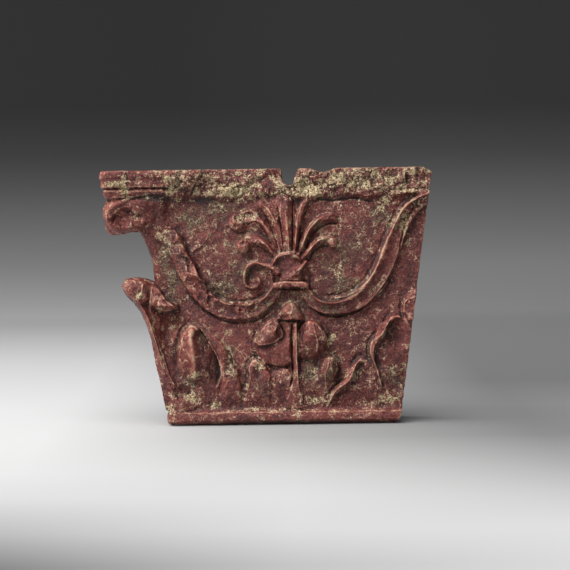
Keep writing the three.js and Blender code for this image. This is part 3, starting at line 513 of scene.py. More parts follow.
        "ridges": [
            ([[-36.8, 85.4], [-37.7, 83.2], [-40, 79], [-44.3, 76.3], [-46, 74.6]], 1.6, 0.9),
            ([[-37.6, 83], [-34.3, 85.3], [-33.8, 89.1]], 1.3, 0.5),
        ],
        "shattered": [([[-46, 92, 12, 8, 0.5], [-38, 80, 5, 7, 0.6], [-61, 78, 3, 12, 0.4]], 3.4, 0.6)],
    },
}

# Which marks raise the stone and which cut it, in the order in which they are made
strokeKinds = {"steps": (1, "step"), "grooves": (1, "round"), "rims": (-1, "round"), "ridges": (-1, "sharp")}


# Carves one part, and notes in worn where its sharp ridges run, because they have rubbed pale
def carvePart(points, front, part, seed, worn):
    for dished in part.get("dishes", []):
        dish(points, front, *dished)
    for struck in part.get("facets", []):
        facet(points, front, *struck)
    for kind, (sign, profile) in strokeKinds.items():
        for line, width, depth, *fade in part.get(kind, []):
            near, share = stroke(points, front, line, width, sign * depth, profile, *fade)
            if kind == "ridges":
                worn[near] = np.maximum(worn[near], share)
    for dabs, size, depth in part.get("shattered", []):
        shatter(points, front, dabbed(points, dabs), size, depth, seed)


# Tool marks on the sides that don't show: the axis and direction that a side looks along and how squarely,
# the two axes of its plane, the furrows' turn in degrees, and their spacing and depth in mm
toolMarks = {
    "point chisel on the back": {"looks": (1, 1), "squarely": (0.7, 0.95), "plane": (0, 2),
                                 "turn": 38, "spacing": 6, "depth": 0.7},
    "claw on the top bed": {"looks": (2, 1), "squarely": (0.8, 0.97), "plane": (0, 1),
                            "turn": 62, "spacing": 3.4, "depth": 0.35},
    "claw on the underside": {"looks": (2, -1), "squarely": (0.8, 0.97), "plane": (0, 1),
                              "turn": 20, "spacing": 3.4, "depth": 0.35},
    "saw on the right": {"looks": (0, 1), "squarely": (0.8, 0.95), "plane": (1, 2),
                         "turn": 6, "spacing": 2.8, "depth": 0.25},
}


# Parallel furrows that wander a little, as the hand does, in long and short waves
def furrows(points, normals, mark):
    (third, sign), (first, second) = mark["looks"], mark["plane"]
    turn = math.radians(mark["turn"])
    longWave, shortWave, unsteady = 17 * mm, 7 * mm, 0.3
    along = points[:, first] * math.cos(turn) + points[:, second] * math.sin(turn)
    across = points[:, second] * math.cos(turn) - points[:, first] * math.sin(turn)
    wander = 0.8 * np.sin(along / longWave) + 0.5 * np.sin(along / shortWave + 2)
    wave = np.abs(np.sin(math.pi * (across / (mark["spacing"] * mm) + unsteady * wander)))
    mask = smoothstep(sign * normals[:, third], *mark["squarely"])
    points[:, third] -= sign * mark["depth"] * mm * mask * (1 - wave)


def copyOfNode(name):
    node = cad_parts[name]
    piece = node.copy()
    piece.data = node.data.copy()
    piece.parent = None
    piece.name = "carvedCapital"
    for key in list(piece.keys()):
        del piece[key]
    bpy.context.scene.collection.objects.link(piece)
    makeActive(piece)
    bpy.ops.object.mode_set(mode="EDIT")
    bpy.ops.mesh.select_all(action="SELECT")
    bpy.ops.mesh.remove_doubles(threshold=0.01 * mm)
    bpy.ops.object.mode_set(mode="OBJECT")
    return piece


# A soft mask from dabs: each is a place, a half width, a half height, all in modules, and a strength
def dabbed(points, dabs, falloff=1.2):
    x = points[:, 0] / module
    z = (points[:, 2] - footTop) / module
    mask = np.zeros(len(points))
    for across, up, halfAcross, halfUp, strength in dabs:
        away = ((x - across) / halfAcross) ** 2 + ((z - up) / halfUp) ** 2
        mask = np.maximum(mask, strength * np.exp(-falloff * away))
    return mask


def setGroup(piece, name, weights, levels=24):
    group = piece.vertex_groups.new(name=name)
    steps = np.rint(np.clip(weights, 0, 1) * levels).astype(int)
    for level in range(1, levels + 1):
        chosen = np.flatnonzero(steps == level)
        if len(chosen):
            group.add(chosen.tolist(), level / levels, "REPLACE")


# Roughens the skin by a pattern: its grain and height are in mm, and the group says where
def roughen(piece, group, kind, grain, height, middle=0.5, **settings):
    pattern = bpy.data.textures.new(group + kind.title(), kind)
    pattern.noise_scale = grain * mm
    for name, value in settings.items():
        setattr(pattern, name, value)
    applyModifier(piece, "DISPLACE", texture=pattern, texture_coords="LOCAL", vertex_group=group,
                  strength=height * mm, mid_level=middle, direction="NORMAL")


# Passes of averaging each point with its neighbours
def averaged(points, edges, passes):
    count = len(points)
    ends = np.concatenate([edges[:, 0], edges[:, 1]])
    others = np.concatenate([edges[:, 1], edges[:, 0]])
    around = np.bincount(ends, minlength=count)[:, None]
    for _ in range(passes):
        sums = [np.bincount(ends, weights=points[others, axis], minlength=count) for axis in range(3)]
        points = 0.5 * points + 0.5 * np.stack(sums, 1) / around
    return points


def readEdges(piece):
    flat = np.empty(2 * len(piece.data.edges), int)
    piece.data.edges.foreach_get("vertices", flat)
    return flat.reshape(-1, 2)


def setAttribute(piece, name, values):
    attribute = piece.data.attributes.new(name, "FLOAT", "POINT")
    attribute.data.foreach_set("value", np.clip(values, 0, 1).astype(np.float32))


# Where the weathering lies and where shade and light are painted, as dabs in modules: place, half width, half
# height, strength
weatheringAndPaintedLight = {
    "crust": [
        [-24, 104.6, 18, 6.6, 1.05], [10, 105, 16, 6.8, 1.15], [34, 106, 14, 6, 0.9],
        [54, 105, 12, 6, 0.75], [-48, 107, 6, 4, 0.8], [-76, 107, 2.4, 9, 1.3], [-81, 107.4, 6, 1.6, 1.3],
        [-51, 99.4, 3, 1.6, 1.2], [-56, 109, 5, 4, 1], [46, 97, 10, 5, 0.9], [60, 97, 6, 4, 0.9],
        [-76, 101.4, 4, 1.4, 0.5], [-2, 102, 20, 3, 0.8], [54, 88, 5, 9, 0.8], [-22, 91, 4, 4, 1],
        [-28, 94, 5, 3, 0.7], [-38, 79, 4, 5, 0.7], [-46, 99, 4, 2, 0.7], [-60, 84, 5, 6, 0.7],
        [24, 86, 1.6, 5, 0.7], [22, 66, 2.4, 6, 0.6], [-70.6, 55.6, 2, 4, 1], [-64.4, 40, 1.2, 6, 0.8],
        [-60, 27, 1.2, 8, 0.7], [-46, 17, 5, 2.6, 0.6], [-47, 7, 6, 4, 0.9], [-36, 3, 8, 2, 0.9],
        [-57, 0, 4, 4, 0.9], [-55, -3, 2.6, 3.4, 1], [0, -0.6, 60, 0.7, 0.65], [6, -0.5, 8, 1.4, 0.7],
        [-14, 20, 3, 3, 0.9], [-20, 10, 1.6, 6, 0.8], [31, 15, 4, 5, 0.6], [12, 4, 10, 4, 0.8],
        [20, 34, 3, 6, 0.8], [6, 8, 3, 6, 0.6], [47, 4, 8, 3, 0.8], [51, 20, 6, 5, 0.5],
        [60, 68, 1.6, 5, 0.7], [-61, 48, 2, 3, 0.9], [44, 36, 2, 6, 0.5], [-76, 94, 8, 5, 0.4],
        [-56, 40, 4, 6, 0.4], [-2, 88, 14, 8, 0.36], [0, 1.6, 60, 2.2, 0.36],
    ],
    "patina": [
        [0, 50, 24, 7, 0.55], [-30, 58, 10, 6, 0.8], [-30, 96, 14, 6, 0.75], [-46, 91, 9, 8, 0.75],
        [-22, 66, 8, 8, 0.6], [28, 58, 12, 6, 0.75], [20, 70, 7, 8, 0.6], [-58, 74, 4, 16, 0.75],
        [-55, 60, 4, 10, 0.9], [44, 92, 8, 6, 0.7], [14, 86, 5, 4, 0.7], [16, 77, 5, 4, 0.6],
        [40, 108, 30, 6, 0.75], [-52, 106, 8, 4, 0.8], [20, 18, 6, 12, 0.6], [9, 18, 4, 8, 0.9],
        [-41, 34, 3, 6, 0.8], [-28, 24, 3, 10, 0.9], [-47, 14, 6, 4, 0.8], [50, 14, 8, 8, 0.6],
        [19, 46, 8, 4, 0.7], [-68, 58, 6, 3, 0.4], [-13, 10, 3, 6, 0.5], [-24, 76, 9, 11, 0.5],
        [25, 74, 12, 12, 0.5],
    ],
    # painted shade: dark dabs where shade falls, under the abacus, on the shaded sides of lobes, in grooves,
    # along the left flank and under the rounded foot
    "paintedShade": [
        [-62, 101, 10, 2.8, 1.3], [-40, 99, 14, 2.8, 0.9], [20, 98.6, 32, 2.6, 0.5], [-65, 30, 2, 16, 0.5],
        [0, -6.4, 60, 2, 0.95], [34, 84, 10, 14, 0.5], [-32, 89, 8, 9, 0.5], [-34, 18, 3, 7, 0.6],
        [-46, 78, 3, 5, 0.5], [-46, 88, 12, 9, 0.4], [2.4, 28, 1.4, 14, 0.6],
    ],
    # painted light with rubbed stone: paler dabs where the light falls, along the lit rim of the right band,
    # on lit lobes and the top of the foot, and in the shaded hollow under the corner leaf
    "rubbedAndPaintedLight": [
        [62.9, 98, 3.4, 4.6, 1], [55.8, 93.9, 3.4, 4.6, 1], [51.5, 87, 3.4, 4.6, 1],
        [48.1, 79.5, 3.4, 4.6, 1], [44.7, 72.5, 3.4, 4.6, 1], [40.9, 66, 3.4, 4.6, 1],
        [35.6, 60.5, 3.4, 4.6, 1], [-43, 66, 3, 3, 0.9], [-62, 54, 3, 4, 0.8], [-48, 29, 4.4, 11, 1],
        [-10, 38, 4, 4, 0.8], [-86, 96, 3, 6, 0.8], [2, 87, 13, 9, 0.8], [-18, 84, 5, 8, 0.8],
        [16, 84, 6, 7, 0.7], [-30, 20, 4, 12, 0.5], [-4, 30, 7, 8, 0.8], [-4, 8, 4, 7, 0.3],
        [-56, 38, 5, 7, 0.9], [2, 66, 6, 8, 0.5], [0, -2, 60, 0.8, 0.4], [19, 20, 2, 3, 0.7],
        [42, 36, 2, 5, 0.8], [0, 47, 3, 3, 0.6],
    ],
    "smooth": [
        [34, 84, 9, 16, 1], [52, 60, 8, 20, 0.6], [-28, 72, 9, 7, 0.8], [-6, 28, 8, 8, 1],
        [50, 30, 8, 8, 0.9], [-47, 26, 5, 9, 0.8], [30, 34, 8, 8, 0.8], [45, 68, 4, 12, 0.8],
        [-24, 34, 7, 8, 0.5], [-66, 50, 3, 8, 0.8], [-4, 8, 4, 7, 0.8], [0, -4, 60, 2.6, 0.9],
        [-66, 30, 5, 22, 0.7], [-84, 110, 8, 3, 0.7], [-66, 99, 6, 3, 0.8], [2, 68, 5, 4, 0.7],
        [24, 48, 8, 3, 0.6], [-48, 64, 4, 6, 0.6], [0, 84, 10, 9, 0.5],
    ],
}


def carveCapital(values):
    piece = copyOfNode("capital")
    applyModifier(piece, "REMESH", mode="VOXEL", voxel_size=values["voxel"] * mm, adaptivity=0)
    print("remeshed:", len(piece.data.vertices), "points")
    points, edges = readPoints(piece), readEdges(piece)
    crisp = averaged(points, edges, values["edgeSoftening"])
    soft = averaged(crisp, edges, values["softening"] - values["edgeSoftening"])
    up = points[:, 2]
    carved = smoothstep(up, *values["carvedAbove"]) * smoothstep(up, *values["carvedBelow"])
    points = crisp + carved[:, None] * (soft - crisp)
    x, z = points[:, 0], points[:, 2]
    leftEdge = smoothstep(x, *values["leftEdge"]) * smoothstep(z, *values["leftEdgeBelow"])
    points[:, 0] -= values["fuller"] * mm * leftEdge
    melt = np.clip(dabbed(points, melted), 0, 1)[:, None] * (points[:, 1:2] < 0)
    points += melt * (averaged(points, edges, values["meltPasses"]) - points)
    writePoints(piece, points)
    points, normals = readPoints(piece), readNormals(piece)
    front = (normals[:, 1] < values["frontUpTo"]) & (points[:, 1] < 0)
    worn = np.zeros(len(points))
    for seed, (name, part) in enumerate(carving.items()):
        carvePart(points, front, part, seed, worn)
        print("carved:", name)
    for tool, mark in toolMarks.items():
        furrows(points, normals, mark)
        print("tooled:", tool)
    points = averaged(points, edges, 1)
    writePoints(piece, points)
    markRelief(piece, points, edges, worn, relief)
    return piece


# How relief is told from the skin averaged over a few, more and many passes: mm from none to full
relief = {
    "passes": (3, 12, 80),
    "edge": (0.03, 0.12),
    "edgeRidge": (0.05, 0.25),
    "worn": (0.15, 0.7),  # of a sharp rim's stroke
    "swell": ((0.5, 0.05, 0.4), (0.5, 0.1, 0.9)),  # share, from and to, of the near and of the wide form
    "hollow": ((0.6, -0.1, -0.5), (0.5, -0.15, -1)),
}


# Marks where an edge stands out sharply, where the stone swells and where it is hollow
def markRelief(piece, points, edges, worn, values):
    normals = readNormals(piece)
    few, more, many = values["passes"]
    close = averaged(points, edges, few)
    near = averaged(close, edges, more)
    wide = averaged(near, edges, many)
    steps = (points - close, points - near, near - wide)
    sharp, *forms = [np.einsum("ij,ij->i", step, normals) / mm for step in steps]
    edge = smoothstep(sharp, *values["edge"]) * smoothstep(forms[0], *values["edgeRidge"])
    setAttribute(piece, "edge", np.maximum(edge, smoothstep(worn, *values["worn"])))
    # swell and hollow later make the marble's colour lighter on swelling forms and darker in hollows: painted
    # light and painted shade
    for name in ("swell", "hollow"):
        shown = [share * smoothstep(form, *span) for form, (share, *span) in zip(forms, values[name])]
        setAttribute(piece, name, sum(shown))


# How the skin ages, and how the weathering, painted shade and painted light are laid over it. The band is
# where the abacus is broken rough:
# m up and m across, from none to full. Facing is by how far the normal looks back.
ageing = {
    "facing": (0.3, -0.1),
    "band": {"up": (0.172, 0.1755), "across": (-0.112, -0.09), "grain": 0.8},
    "patinaGrain": 0.5,
    "smoothSkin": 0.75,
    "smoothFront": 0.8,
    "hiddenSkin": 0.3,
    "roughness": [  # where, by what pattern, its grain and height in mm
        ("crust", "CLOUDS", 2.6, 1.5, {"noise_depth": 3}),
        ("skin", "CLOUDS", 9, 0.7, {"noise_depth": 1}),
        ("skin", "CLOUDS", 2.2, 0.75, {"noise_depth": 2}),
        ("front", "VORONOI", 4.2, 0.75, {"middle": 0.9}),
    ],
}
painting = {
    "facing": (0.3, -0.2),
    "band": {"up": (0.1715, 0.1755), "across": (-0.118, -0.086), "crust": 0.62},
    "topBed": (0.192, 0.1935),  # m up
    "underside": (0.0015, 0.0005),
    "lookingBack": (0.3, 0.8),
}


def inBand(points, band):
    return smoothstep(points[:, 2], *band["up"]) * smoothstep(points[:, 0], *band["across"])


def agePiece(piece, values, thinning):
    points, normals = readPoints(piece), readNormals(piece)
    facing = smoothstep(normals[:, 1], *values["facing"])
    band = values["band"]["grain"] * inBand(points, values["band"])
    patina = values["patinaGrain"] * dabbed(points, weatheringAndPaintedLight["patina"])
    grainy = np.maximum(dabbed(points, weatheringAndPaintedLight["crust"]), patina)
    smooth = dabbed(points, weatheringAndPaintedLight["smooth"])
    hiddenSkin = values["hiddenSkin"]
    setGroup(piece, "crust", np.maximum(grainy, band) * facing)
    setGroup(piece, "skin", (1 - values["smoothSkin"] * smooth) * (hiddenSkin + (1 - hiddenSkin) * facing))
    setGroup(piece, "front", facing * (1 - values["smoothFront"] * smooth))
    for group, kind, grain, height, settings in values["roughness"]:
        roughen(piece, group, kind, grain, height, **settings)
    for group in list(piece.vertex_groups):
        piece.vertex_groups.remove(group)
    faces = sum(len(face.vertices) - 2 for face in piece.data.polygons)
    writePoints(piece, readPoints(piece) / mm)  # in metres the errors are too small for the modifier to weigh
    ratio = thinning["triangles"] / faces
    applyModifier(piece, "DECIMATE", ratio=ratio, use_collapse_triangulate=True)
    writePoints(piece, np.clip(readPoints(piece) * mm, np.array(lowCorner), np.array(highCorner)))
    makeActive(piece)
    bpy.ops.object.shade_smooth_by_angle(angle=math.radians(thinning["creaseAngle"]))
    print("aged:", faces, "triangles thinned to", len(piece.data.polygons))


def paintWeatheringAndLight(piece, values):
    points, normals = readPoints(piece), readNormals(piece)
    facing = smoothstep(normals[:, 1], *values["facing"])
    band = values["band"]["crust"] * inBand(points, values["band"]) * facing
    for name, dabs in weatheringAndPaintedLight.items():
        mask = dabbed(points, dabs) * facing
        setAttribute(piece, name, np.maximum(mask, band) if name == "crust" else mask)
    up = points[:, 2]
    beds = np.maximum(smoothstep(up, *values["topBed"]), smoothstep(up, *values["underside"]))
    setAttribute(piece, "hidden", np.maximum(smoothstep(normals[:, 1], *values["lookingBack"]), beds))
    print("painted:", ", ".join(weatheringAndPaintedLight))


def toLinear(hexColour):
    parts = [int(hexColour[i:i + 2], 16) / 255 for i in (1, 3, 5)]
    return [p / 12.92 if p <= 0.04045 else ((p + 0.055) / 1.055) ** 2.4 for p in parts] + [1]


# Adds a node, sets it up and joins what comes in: a socket is linked, anything else is set
def addNode(tree, kind, settings=None, inputs=None, stops=None):
    node = tree.nodes.new(kind)
    for name, value in (settings or {}).items():
        setattr(node, name, value)
    for name, value in (inputs or {}).items():
        if isinstance(value, bpy.types.NodeSocket):
            tree.links.new(value, node.inputs[name])
        else:
            node.inputs[name].default_value = value
    if stops:
        ramp = node.color_ramp
        while len(ramp.elements) > len(stops):
            ramp.elements.remove(ramp.elements[-1])
        while len(ramp.elements) < len(stops):
            ramp.elements.new(1)
        for element, (place, colour) in zip(ramp.elements, stops):
            element.position = place
            element.color = toLinear(colour) if isinstance(colour, str) else (colour, colour, colour, 1)
    return node


# Red marble of the rosso antico kind, carved and once rubbed smooth, then buried: a satin wine-red skin,
# pale on its worn edges, with pits, pale flecks, brown-green patina, root threads and beige lime crust,
# and with painted light on lit and swelling forms and painted shade in hollows and shaded places
redMarble = {
    "patterns": {  # size in mm, detail and roughness; real flecks are finer, this coarse they show
        "clouds": (24, 4, 0.6),
        "patches": (9, 3, 0.6),
        "mottle": (4.2, 3, 0.6),
        "crumbs": (2.2, 3, 0.7),
        "flecks": (1.15, 3, 0.7),
    },
    "distortion": 0.3,
    "threads": {"size": 6.5, "width": 0.35, "waviness": 4, "sway": 4},  # mm
    "threadRim": (0.3, 1.3),  # in widths, where a thread is full and where it ends
    "levels": {  # each starts at its first number, and patterns and masks push it up or down
        # painted light and shade in the tone: lighter on swelling forms and on the painted light dabs, darker
        # in hollows
        "tone": (0.46, {"clouds": 0.7, "patches": 0.4, "mottle": 0.6, "flecks": 1.7, "swell": 0.32,
                        "rubbedAndPaintedLight": 0.2, "hollow": -0.28}),
        "fleckSpots": (0.26, {"flecks": 3, "patches": 1.5, "crumbs": 1.4, "smooth": -0.36, "crust": 0.2}),
        # dark pits, a little denser in hollows as painted shade
        "pitSpots": (0.14, {"flecks": -3, "patches": 0.6, "crumbs": -1.4, "smooth": -0.25, "crust": 0.35,
                            "hollow": 0.15}),
        "patinaSpots": (0.1, {"patina": 0.85, "hollow": 0.1, "patches": 1.2, "mottle": 1.6, "crumbs": 1.9}),
        # pale worn edges, and painted light from the painted light dabs and on swelling forms
        "wearAndPaintedLight": (0.0, {"edge": 0.85, "crumbs": 2.2, "patches": 0.8, "swell": 0.15, "rubbedAndPaintedLight": 0.4}),
        "dust": (-0.1, {"hidden": 0.6, "patches": 1.6, "crumbs": 1.2}),
        # painted shade: dark in hollows and in the painted shade dabs, mottled like dirt
        "dirtAndPaintedShade": (-0.04, {"hollow": 0.95, "paintedShade": 1.1, "mottle": 0.8, "crumbs": 0.8}),
        "threadSpots": (0.0, {"threads": 0.75, "patches": 1.6, "mottle": 1.2}),
        "crustSpots": (0.02, {"crust": 0.74, "mottle": 1.8, "crumbs": 1.6, "flecks": 1.4, "patches": 1.6}),
        "gloss": (0.4, {"crust": 0.3, "mottle": 0.4, "patina": 0.15}),
        "height": (0.5, {"flecks": 1.0, "crumbs": 0.9}),
    },
    "layers": [  # from the bare stone up: what the colours follow, where the layer lies and how densely
        {"by": "tone", "colours": [(0.1, "#260c0c"), (0.3, "#491a18"), (0.5, "#672a25"), (0.7, "#854036"),
                                   (0.95, "#aa6354")]},
        {"by": "mottle", "colours": [(0.35, "#95594a"), (0.65, "#c49a82")], "in": "fleckSpots",
         "cover": [(0.42, 0), (1.0, 0.75)]},
        {"by": "mottle", "colours": [(0.35, "#1b0c0c"), (0.65, "#2f1b16")], "in": "pitSpots",
         "cover": [(0.42, 0), (0.9, 0.8)]},
        {"by": "flecks", "colours": [(0.36, "#20160f"), (0.5, "#51402f"), (0.64, "#8b7b57")],
         "in": "patinaSpots", "cover": [(0.3, 0), (0.75, 0.88)]},
        # pale layer of worn edges and painted light
        {"by": "mottle", "colours": [(0.35, "#a87361"), (0.65, "#dcbb9c")], "in": "wearAndPaintedLight",
         "cover": [(0.4, 0), (1.0, 0.8)]},
        {"by": "mottle", "colours": [(0.35, "#b58a74"), (0.65, "#d3b898")], "in": "threadSpots",
         "cover": [(0.72, 0), (0.9, 0.8)]},
        # dark layer of painted shade and dirt in hollows and shaded places
        {"by": "crumbs", "colours": [(0.35, "#150a09"), (0.65, "#2a1a14")], "in": "dirtAndPaintedShade",
         "cover": [(0.45, 0), (1.0, 0.85)]},
        {"by": "flecks", "colours": [(0.34, "#2c1d15"), (0.42, "#7d6549"), (0.52, "#b29c74"),
                                     (0.66, "#e2d5b0")],
         "in": "crustSpots", "cover": [(0.5, 0), (0.78, 1)]},
        {"by": "crumbs", "colours": [(0.35, "#6d5348"), (0.65, "#a08a78")], "in": "dust",
         "cover": [(0.3, 0), (0.8, 0.6)]},
    ],
    "bump": 1.0,  # mm
    "bumpStrength": 0.9,
    "refraction": 1.5,
}


def marbleMaterial(values):
    material = bpy.data.materials.new("redMarbleWeatheredWithPaintedLightAndShade")
    material.use_nodes = True
    tree = material.node_tree
    tree.nodes.clear()
    place = addNode(tree, "ShaderNodeTexCoord").outputs["Object"]
    levels = {}
    for name, (size, detail, rough) in values["patterns"].items():
        levels[name] = addNode(tree, "ShaderNodeTexNoise", inputs={
            "Vector": place, "Scale": 1 / (size * mm), "Detail": detail, "Roughness": rough,
            "Distortion": values["distortion"]}).outputs["Fac"]
    for name in ("edge", "swell", "hollow", "hidden", *weatheringAndPaintedLight):
        levels[name] = addNode(tree, "ShaderNodeAttribute", {"attribute_name": name}).outputs["Fac"]

    # Root threads run where wavy cells meet
    threads = values["threads"]
    waves = addNode(tree, "ShaderNodeTexNoise",
                    inputs={"Vector": place, "Scale": 1 / (threads["waviness"] * mm)})
    wavy = addNode(tree, "ShaderNodeMix", {"data_type": "RGBA", "blend_type": "LINEAR_LIGHT"},
                   {0: threads["sway"] * mm, 6: place, 7: waves.outputs["Color"]})
    cells = addNode(tree, "ShaderNodeTexVoronoi", {"feature": "DISTANCE_TO_EDGE"},
                    {"Vector": wavy.outputs[2], "Scale": 1 / (threads["size"] * mm)})
    width = threads["width"] / threads["size"]
    core, rim = values["threadRim"]
    lines = addNode(tree, "ShaderNodeMapRange", inputs={
        "Value": cells.outputs["Distance"], "From Min": core * width, "From Max": rim * width,
        "To Min": 1, "To Max": 0})
    levels["threads"] = lines.outputs[0]

    for name, (level, parts) in values["levels"].items():
        level -= 0.5 * sum(weight for part, weight in parts.items() if part in values["patterns"])
        for part, weight in parts.items():
            step = addNode(tree, "ShaderNodeMath", {"operation": "MULTIPLY_ADD"},
                           {0: levels[part], 1: weight, 2: level})
            level = step.outputs[0]
        levels[name] = level

    colour = None
    for layer in values["layers"]:
        own = addNode(tree, "ShaderNodeValToRGB", inputs={"Fac": levels[layer["by"]]}, stops=layer["colours"])
        if colour is None:
            colour = own.outputs["Color"]
            continue
        cover = addNode(tree, "ShaderNodeValToRGB", inputs={"Fac": levels[layer["in"]]}, stops=layer["cover"])
        over = addNode(tree, "ShaderNodeMix", {"data_type": "RGBA"},
                       {0: cover.outputs["Color"], 6: colour, 7: own.outputs["Color"]})
        colour = over.outputs[2]

    bump = addNode(tree, "ShaderNodeBump", inputs={
        "Strength": values["bumpStrength"], "Distance": values["bump"] * mm, "Height": levels["height"]})
    shader = addNode(tree, "ShaderNodeBsdfPrincipled", inputs={
        "Base Color": colour, "Roughness": levels["gloss"], "Normal": bump.outputs["Normal"],
        "IOR": values["refraction"]})
    addNode(tree, "ShaderNodeOutputMaterial", inputs={"Surface": shader.outputs["BSDF"]})
    return material


# Paper sweep: floor, curve and wall in one sheet, painted pale in front and dark above as painted light and
# shade
sweep = {"width": 12, "front": -8, "fold": 1.9, "height": 3, "curve": 0.8, "segments": 24}


def makeSweep(values):
    deselectAll()
    fold, near = values["fold"], 0.01
    depth = fold - values["front"]
    bpy.ops.mesh.primitive_plane_add(size=1, location=(0, values["front"] + depth / 2, 0))
    sheet = bpy.context.object
    sheet.name = "paperSweep"
    sheet.scale = (values["width"], depth, 1)
    bpy.ops.object.transform_apply(location=True, scale=True)
    bpy.ops.object.mode_set(mode="EDIT")
    bpy.ops.mesh.select_all(action="DESELECT")
    bpy.ops.object.mode_set(mode="OBJECT")
    for edge in sheet.data.edges:
        edge.select = all(sheet.data.vertices[i].co.y > fold - near for i in edge.vertices)
    bpy.ops.object.mode_set(mode="EDIT")
    bpy.ops.mesh.select_mode(type="EDGE")
    bpy.ops.mesh.extrude_region_move(TRANSFORM_OT_translate={"value": (0, 0, values["height"])})
    bpy.ops.mesh.select_all(action="DESELECT")
    bpy.ops.object.mode_set(mode="OBJECT")
    for edge in sheet.data.edges:
        ends = [sheet.data.vertices[i].co for i in edge.vertices]
        edge.select = all(abs(end.y - fold) < near and abs(end.z) < near for end in ends)
    bpy.ops.object.mode_set(mode="EDIT")
    bpy.ops.mesh.bevel(offset=values["curve"], segments=values["segments"], affect="EDGES")
    bpy.ops.object.mode_set(mode="OBJECT")
    bpy.ops.object.shade_smooth()
    return sheet


# How far back on the paper, in metres, and its grey there, in three strips from left to right. The greys are
# painted light
# and shade: a pool of light in front on the left, darker at the front left corner, a painted shadow in the
# right strip, darker towards the top
paper = {
    "left": [
        (-0.6, "#5a5a5a"), (-0.5, "#979797"), (-0.38, "#bbbbbb"), (-0.27, "#c7c7c7"), (-0.1, "#cecece"),
        (0.1, "#d1d1d1"), (0.55, "#c6c6c6"), (1.2, "#a1a1a1"), (1.4, "#797979"), (1.6, "#494949"),
        (1.65, "#393939"), (1.72, "#2b2b2b"),
    ],
    "middle": [
        (-0.6, "#a4a4a4"), (-0.5, "#bbbbbb"), (-0.38, "#c1c1c1"), (-0.27, "#bcbcbc"), (-0.1, "#a3a3a3"),
        (0.1, "#afafaf"), (0.55, "#a5a5a5"), (1.2, "#969696"), (1.4, "#7a7a7a"), (1.6, "#515151"),
        (1.65, "#3d3d3d"), (1.72, "#2f2f2f"),
    ],
    "right": [
        (-0.6, "#c0c0c0"), (-0.5, "#c2c2c2"), (-0.38, "#b2b2b2"), (-0.27, "#9e9e9e"), (-0.1, "#808080"),
        (0.1, "#8a8a8a"), (0.3, "#797979"), (0.55, "#7e7e7e"), (1.2, "#8c8c8c"), (1.4, "#7e7e7e"),
        (1.6, "#535353"), (1.65, "#424242"), (1.72, "#313131"),
    ],
    "reach": (-0.6, 1.9),
    "half": 0.18,
    "roughness": 0.9,
    "shine": 0.1,
}


def paperMaterialWithPaintedLight(values):
    material = bpy.data.materials.new("mattPaperWithPaintedLightAndShade")
    material.use_nodes = True
    tree = material.node_tree
    tree.nodes.clear()
    place = addNode(tree, "ShaderNodeTexCoord").outputs["Object"]
    parts = addNode(tree, "ShaderNodeSeparateXYZ", inputs={"Vector": place})
    front, back = values["reach"]
    along = addNode(tree, "ShaderNodeMapRange", inputs={
        "Value": parts.outputs["Y"], "From Min": front, "From Max": back})
    grey = None
    for side, start in (("left", None), ("middle", -values["half"]), ("right", 0)):
        stops = [((distance - front) / (back - front), shade) for distance, shade in values[side]]
        ramp = addNode(tree, "ShaderNodeValToRGB", inputs={"Fac": along.outputs[0]}, stops=stops)
        if grey is None:
            grey = ramp.outputs["Color"]
            continue
        across = addNode(tree, "ShaderNodeMapRange", inputs={
            "Value": parts.outputs["X"], "From Min": start, "From Max": start + values["half"]})
        both = addNode(tree, "ShaderNodeMix", {"data_type": "RGBA"},
                       {0: across.outputs[0], 6: grey, 7: ramp.outputs["Color"]})
        grey = both.outputs[2]
    shader = addNode(tree, "ShaderNodeBsdfPrincipled", inputs={
        "Base Color": grey, "Roughness": values["roughness"], "Specular IOR Level": values["shine"]})
    addNode(tree, "ShaderNodeOutputMaterial", inputs={"Surface": shader.outputs["BSDF"]})
    return material


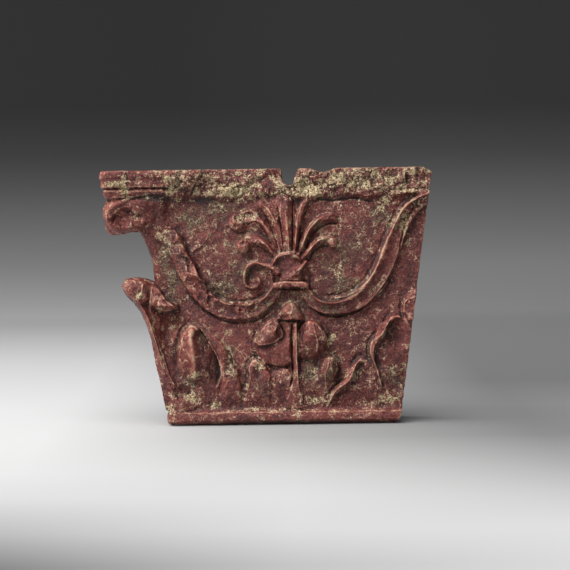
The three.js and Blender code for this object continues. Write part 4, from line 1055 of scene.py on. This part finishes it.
# Softboxes, in metres and watts. The key lights the stone alone and the wide one the paper alone, because
# the paper shows a soft contact shadow and hardly any cast one. The fill lights both.
softboxes = {
    "keyFromUpperLeft": {"place": (-1.05, -0.9, 1.6), "size": 1.1, "power": 72, "onto": "stone"},
    "wideOverPaper": {"place": (-1.05, -0.9, 1.6), "size": 3.6, "power": 137, "onto": "paper"},
    "fillFromRight": {"place": (1.1, -1.3, 0.5), "size": 1.2, "power": 1.6, "onto": "both"},
}
aim = (0, 0, 0.1)
surroundings = 0.14  # strength of the white world


def addSoftbox(name, values, receivers):
    deselectAll()
    bpy.ops.object.light_add(type="AREA", location=values["place"])
    light = bpy.context.object
    light.name = name
    light.data.shape = "RECTANGLE"
    light.data.size = light.data.size_y = values["size"]
    light.data.energy = values["power"]
    light.rotation_euler = (Vector(aim) - Vector(values["place"])).to_track_quat("-Z", "Y").to_euler()
    if values["onto"] in receivers:
        lit = bpy.data.collections.new(name)
        lit.objects.link(receivers[values["onto"]])
        light.light_linking.receiver_collection = lit


camera = {
    "place": (-0.003, -1.63, 0.19),
    "target": (-0.003, -0.03, 0.1065),
    "lens": 134.7,
    "sensor": 36,
    "roll": -0.8,  # degrees
}


def addCamera(values):
    deselectAll()
    bpy.ops.object.camera_add(location=values["place"])
    made = bpy.context.object
    made.data.lens = values["lens"]
    made.data.sensor_width = values["sensor"]
    look = Vector(values["target"]) - Vector(values["place"])
    made.rotation_euler = look.to_track_quat("-Z", "Y").to_euler()
    made.rotation_euler.rotate_axis("Z", math.radians(values["roll"]))
    bpy.context.scene.camera = made


piece = carveCapital(capital)
agePiece(piece, ageing, capital)
paintWeatheringAndLight(piece, painting)
piece.data.materials.clear()
piece.data.materials.append(marbleMaterial(redMarble))
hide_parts("capital")
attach(piece, "root")

sheet = makeSweep(sweep)
sheet.data.materials.append(paperMaterialWithPaintedLight(paper))
print("paper laid out")

for name, values in softboxes.items():
    addSoftbox(name, values, {"stone": piece, "paper": sheet})
addCamera(camera)
bpy.context.scene.view_settings.view_transform = "Standard"
world = bpy.data.worlds.new("studio")
world.use_nodes = True
background = world.node_tree.nodes["Background"].inputs
background["Color"].default_value = (1, 1, 1, 1)
background["Strength"].default_value = surroundings
bpy.context.scene.world = world
print("lit, with", len(softboxes), "softboxes")

print("done")
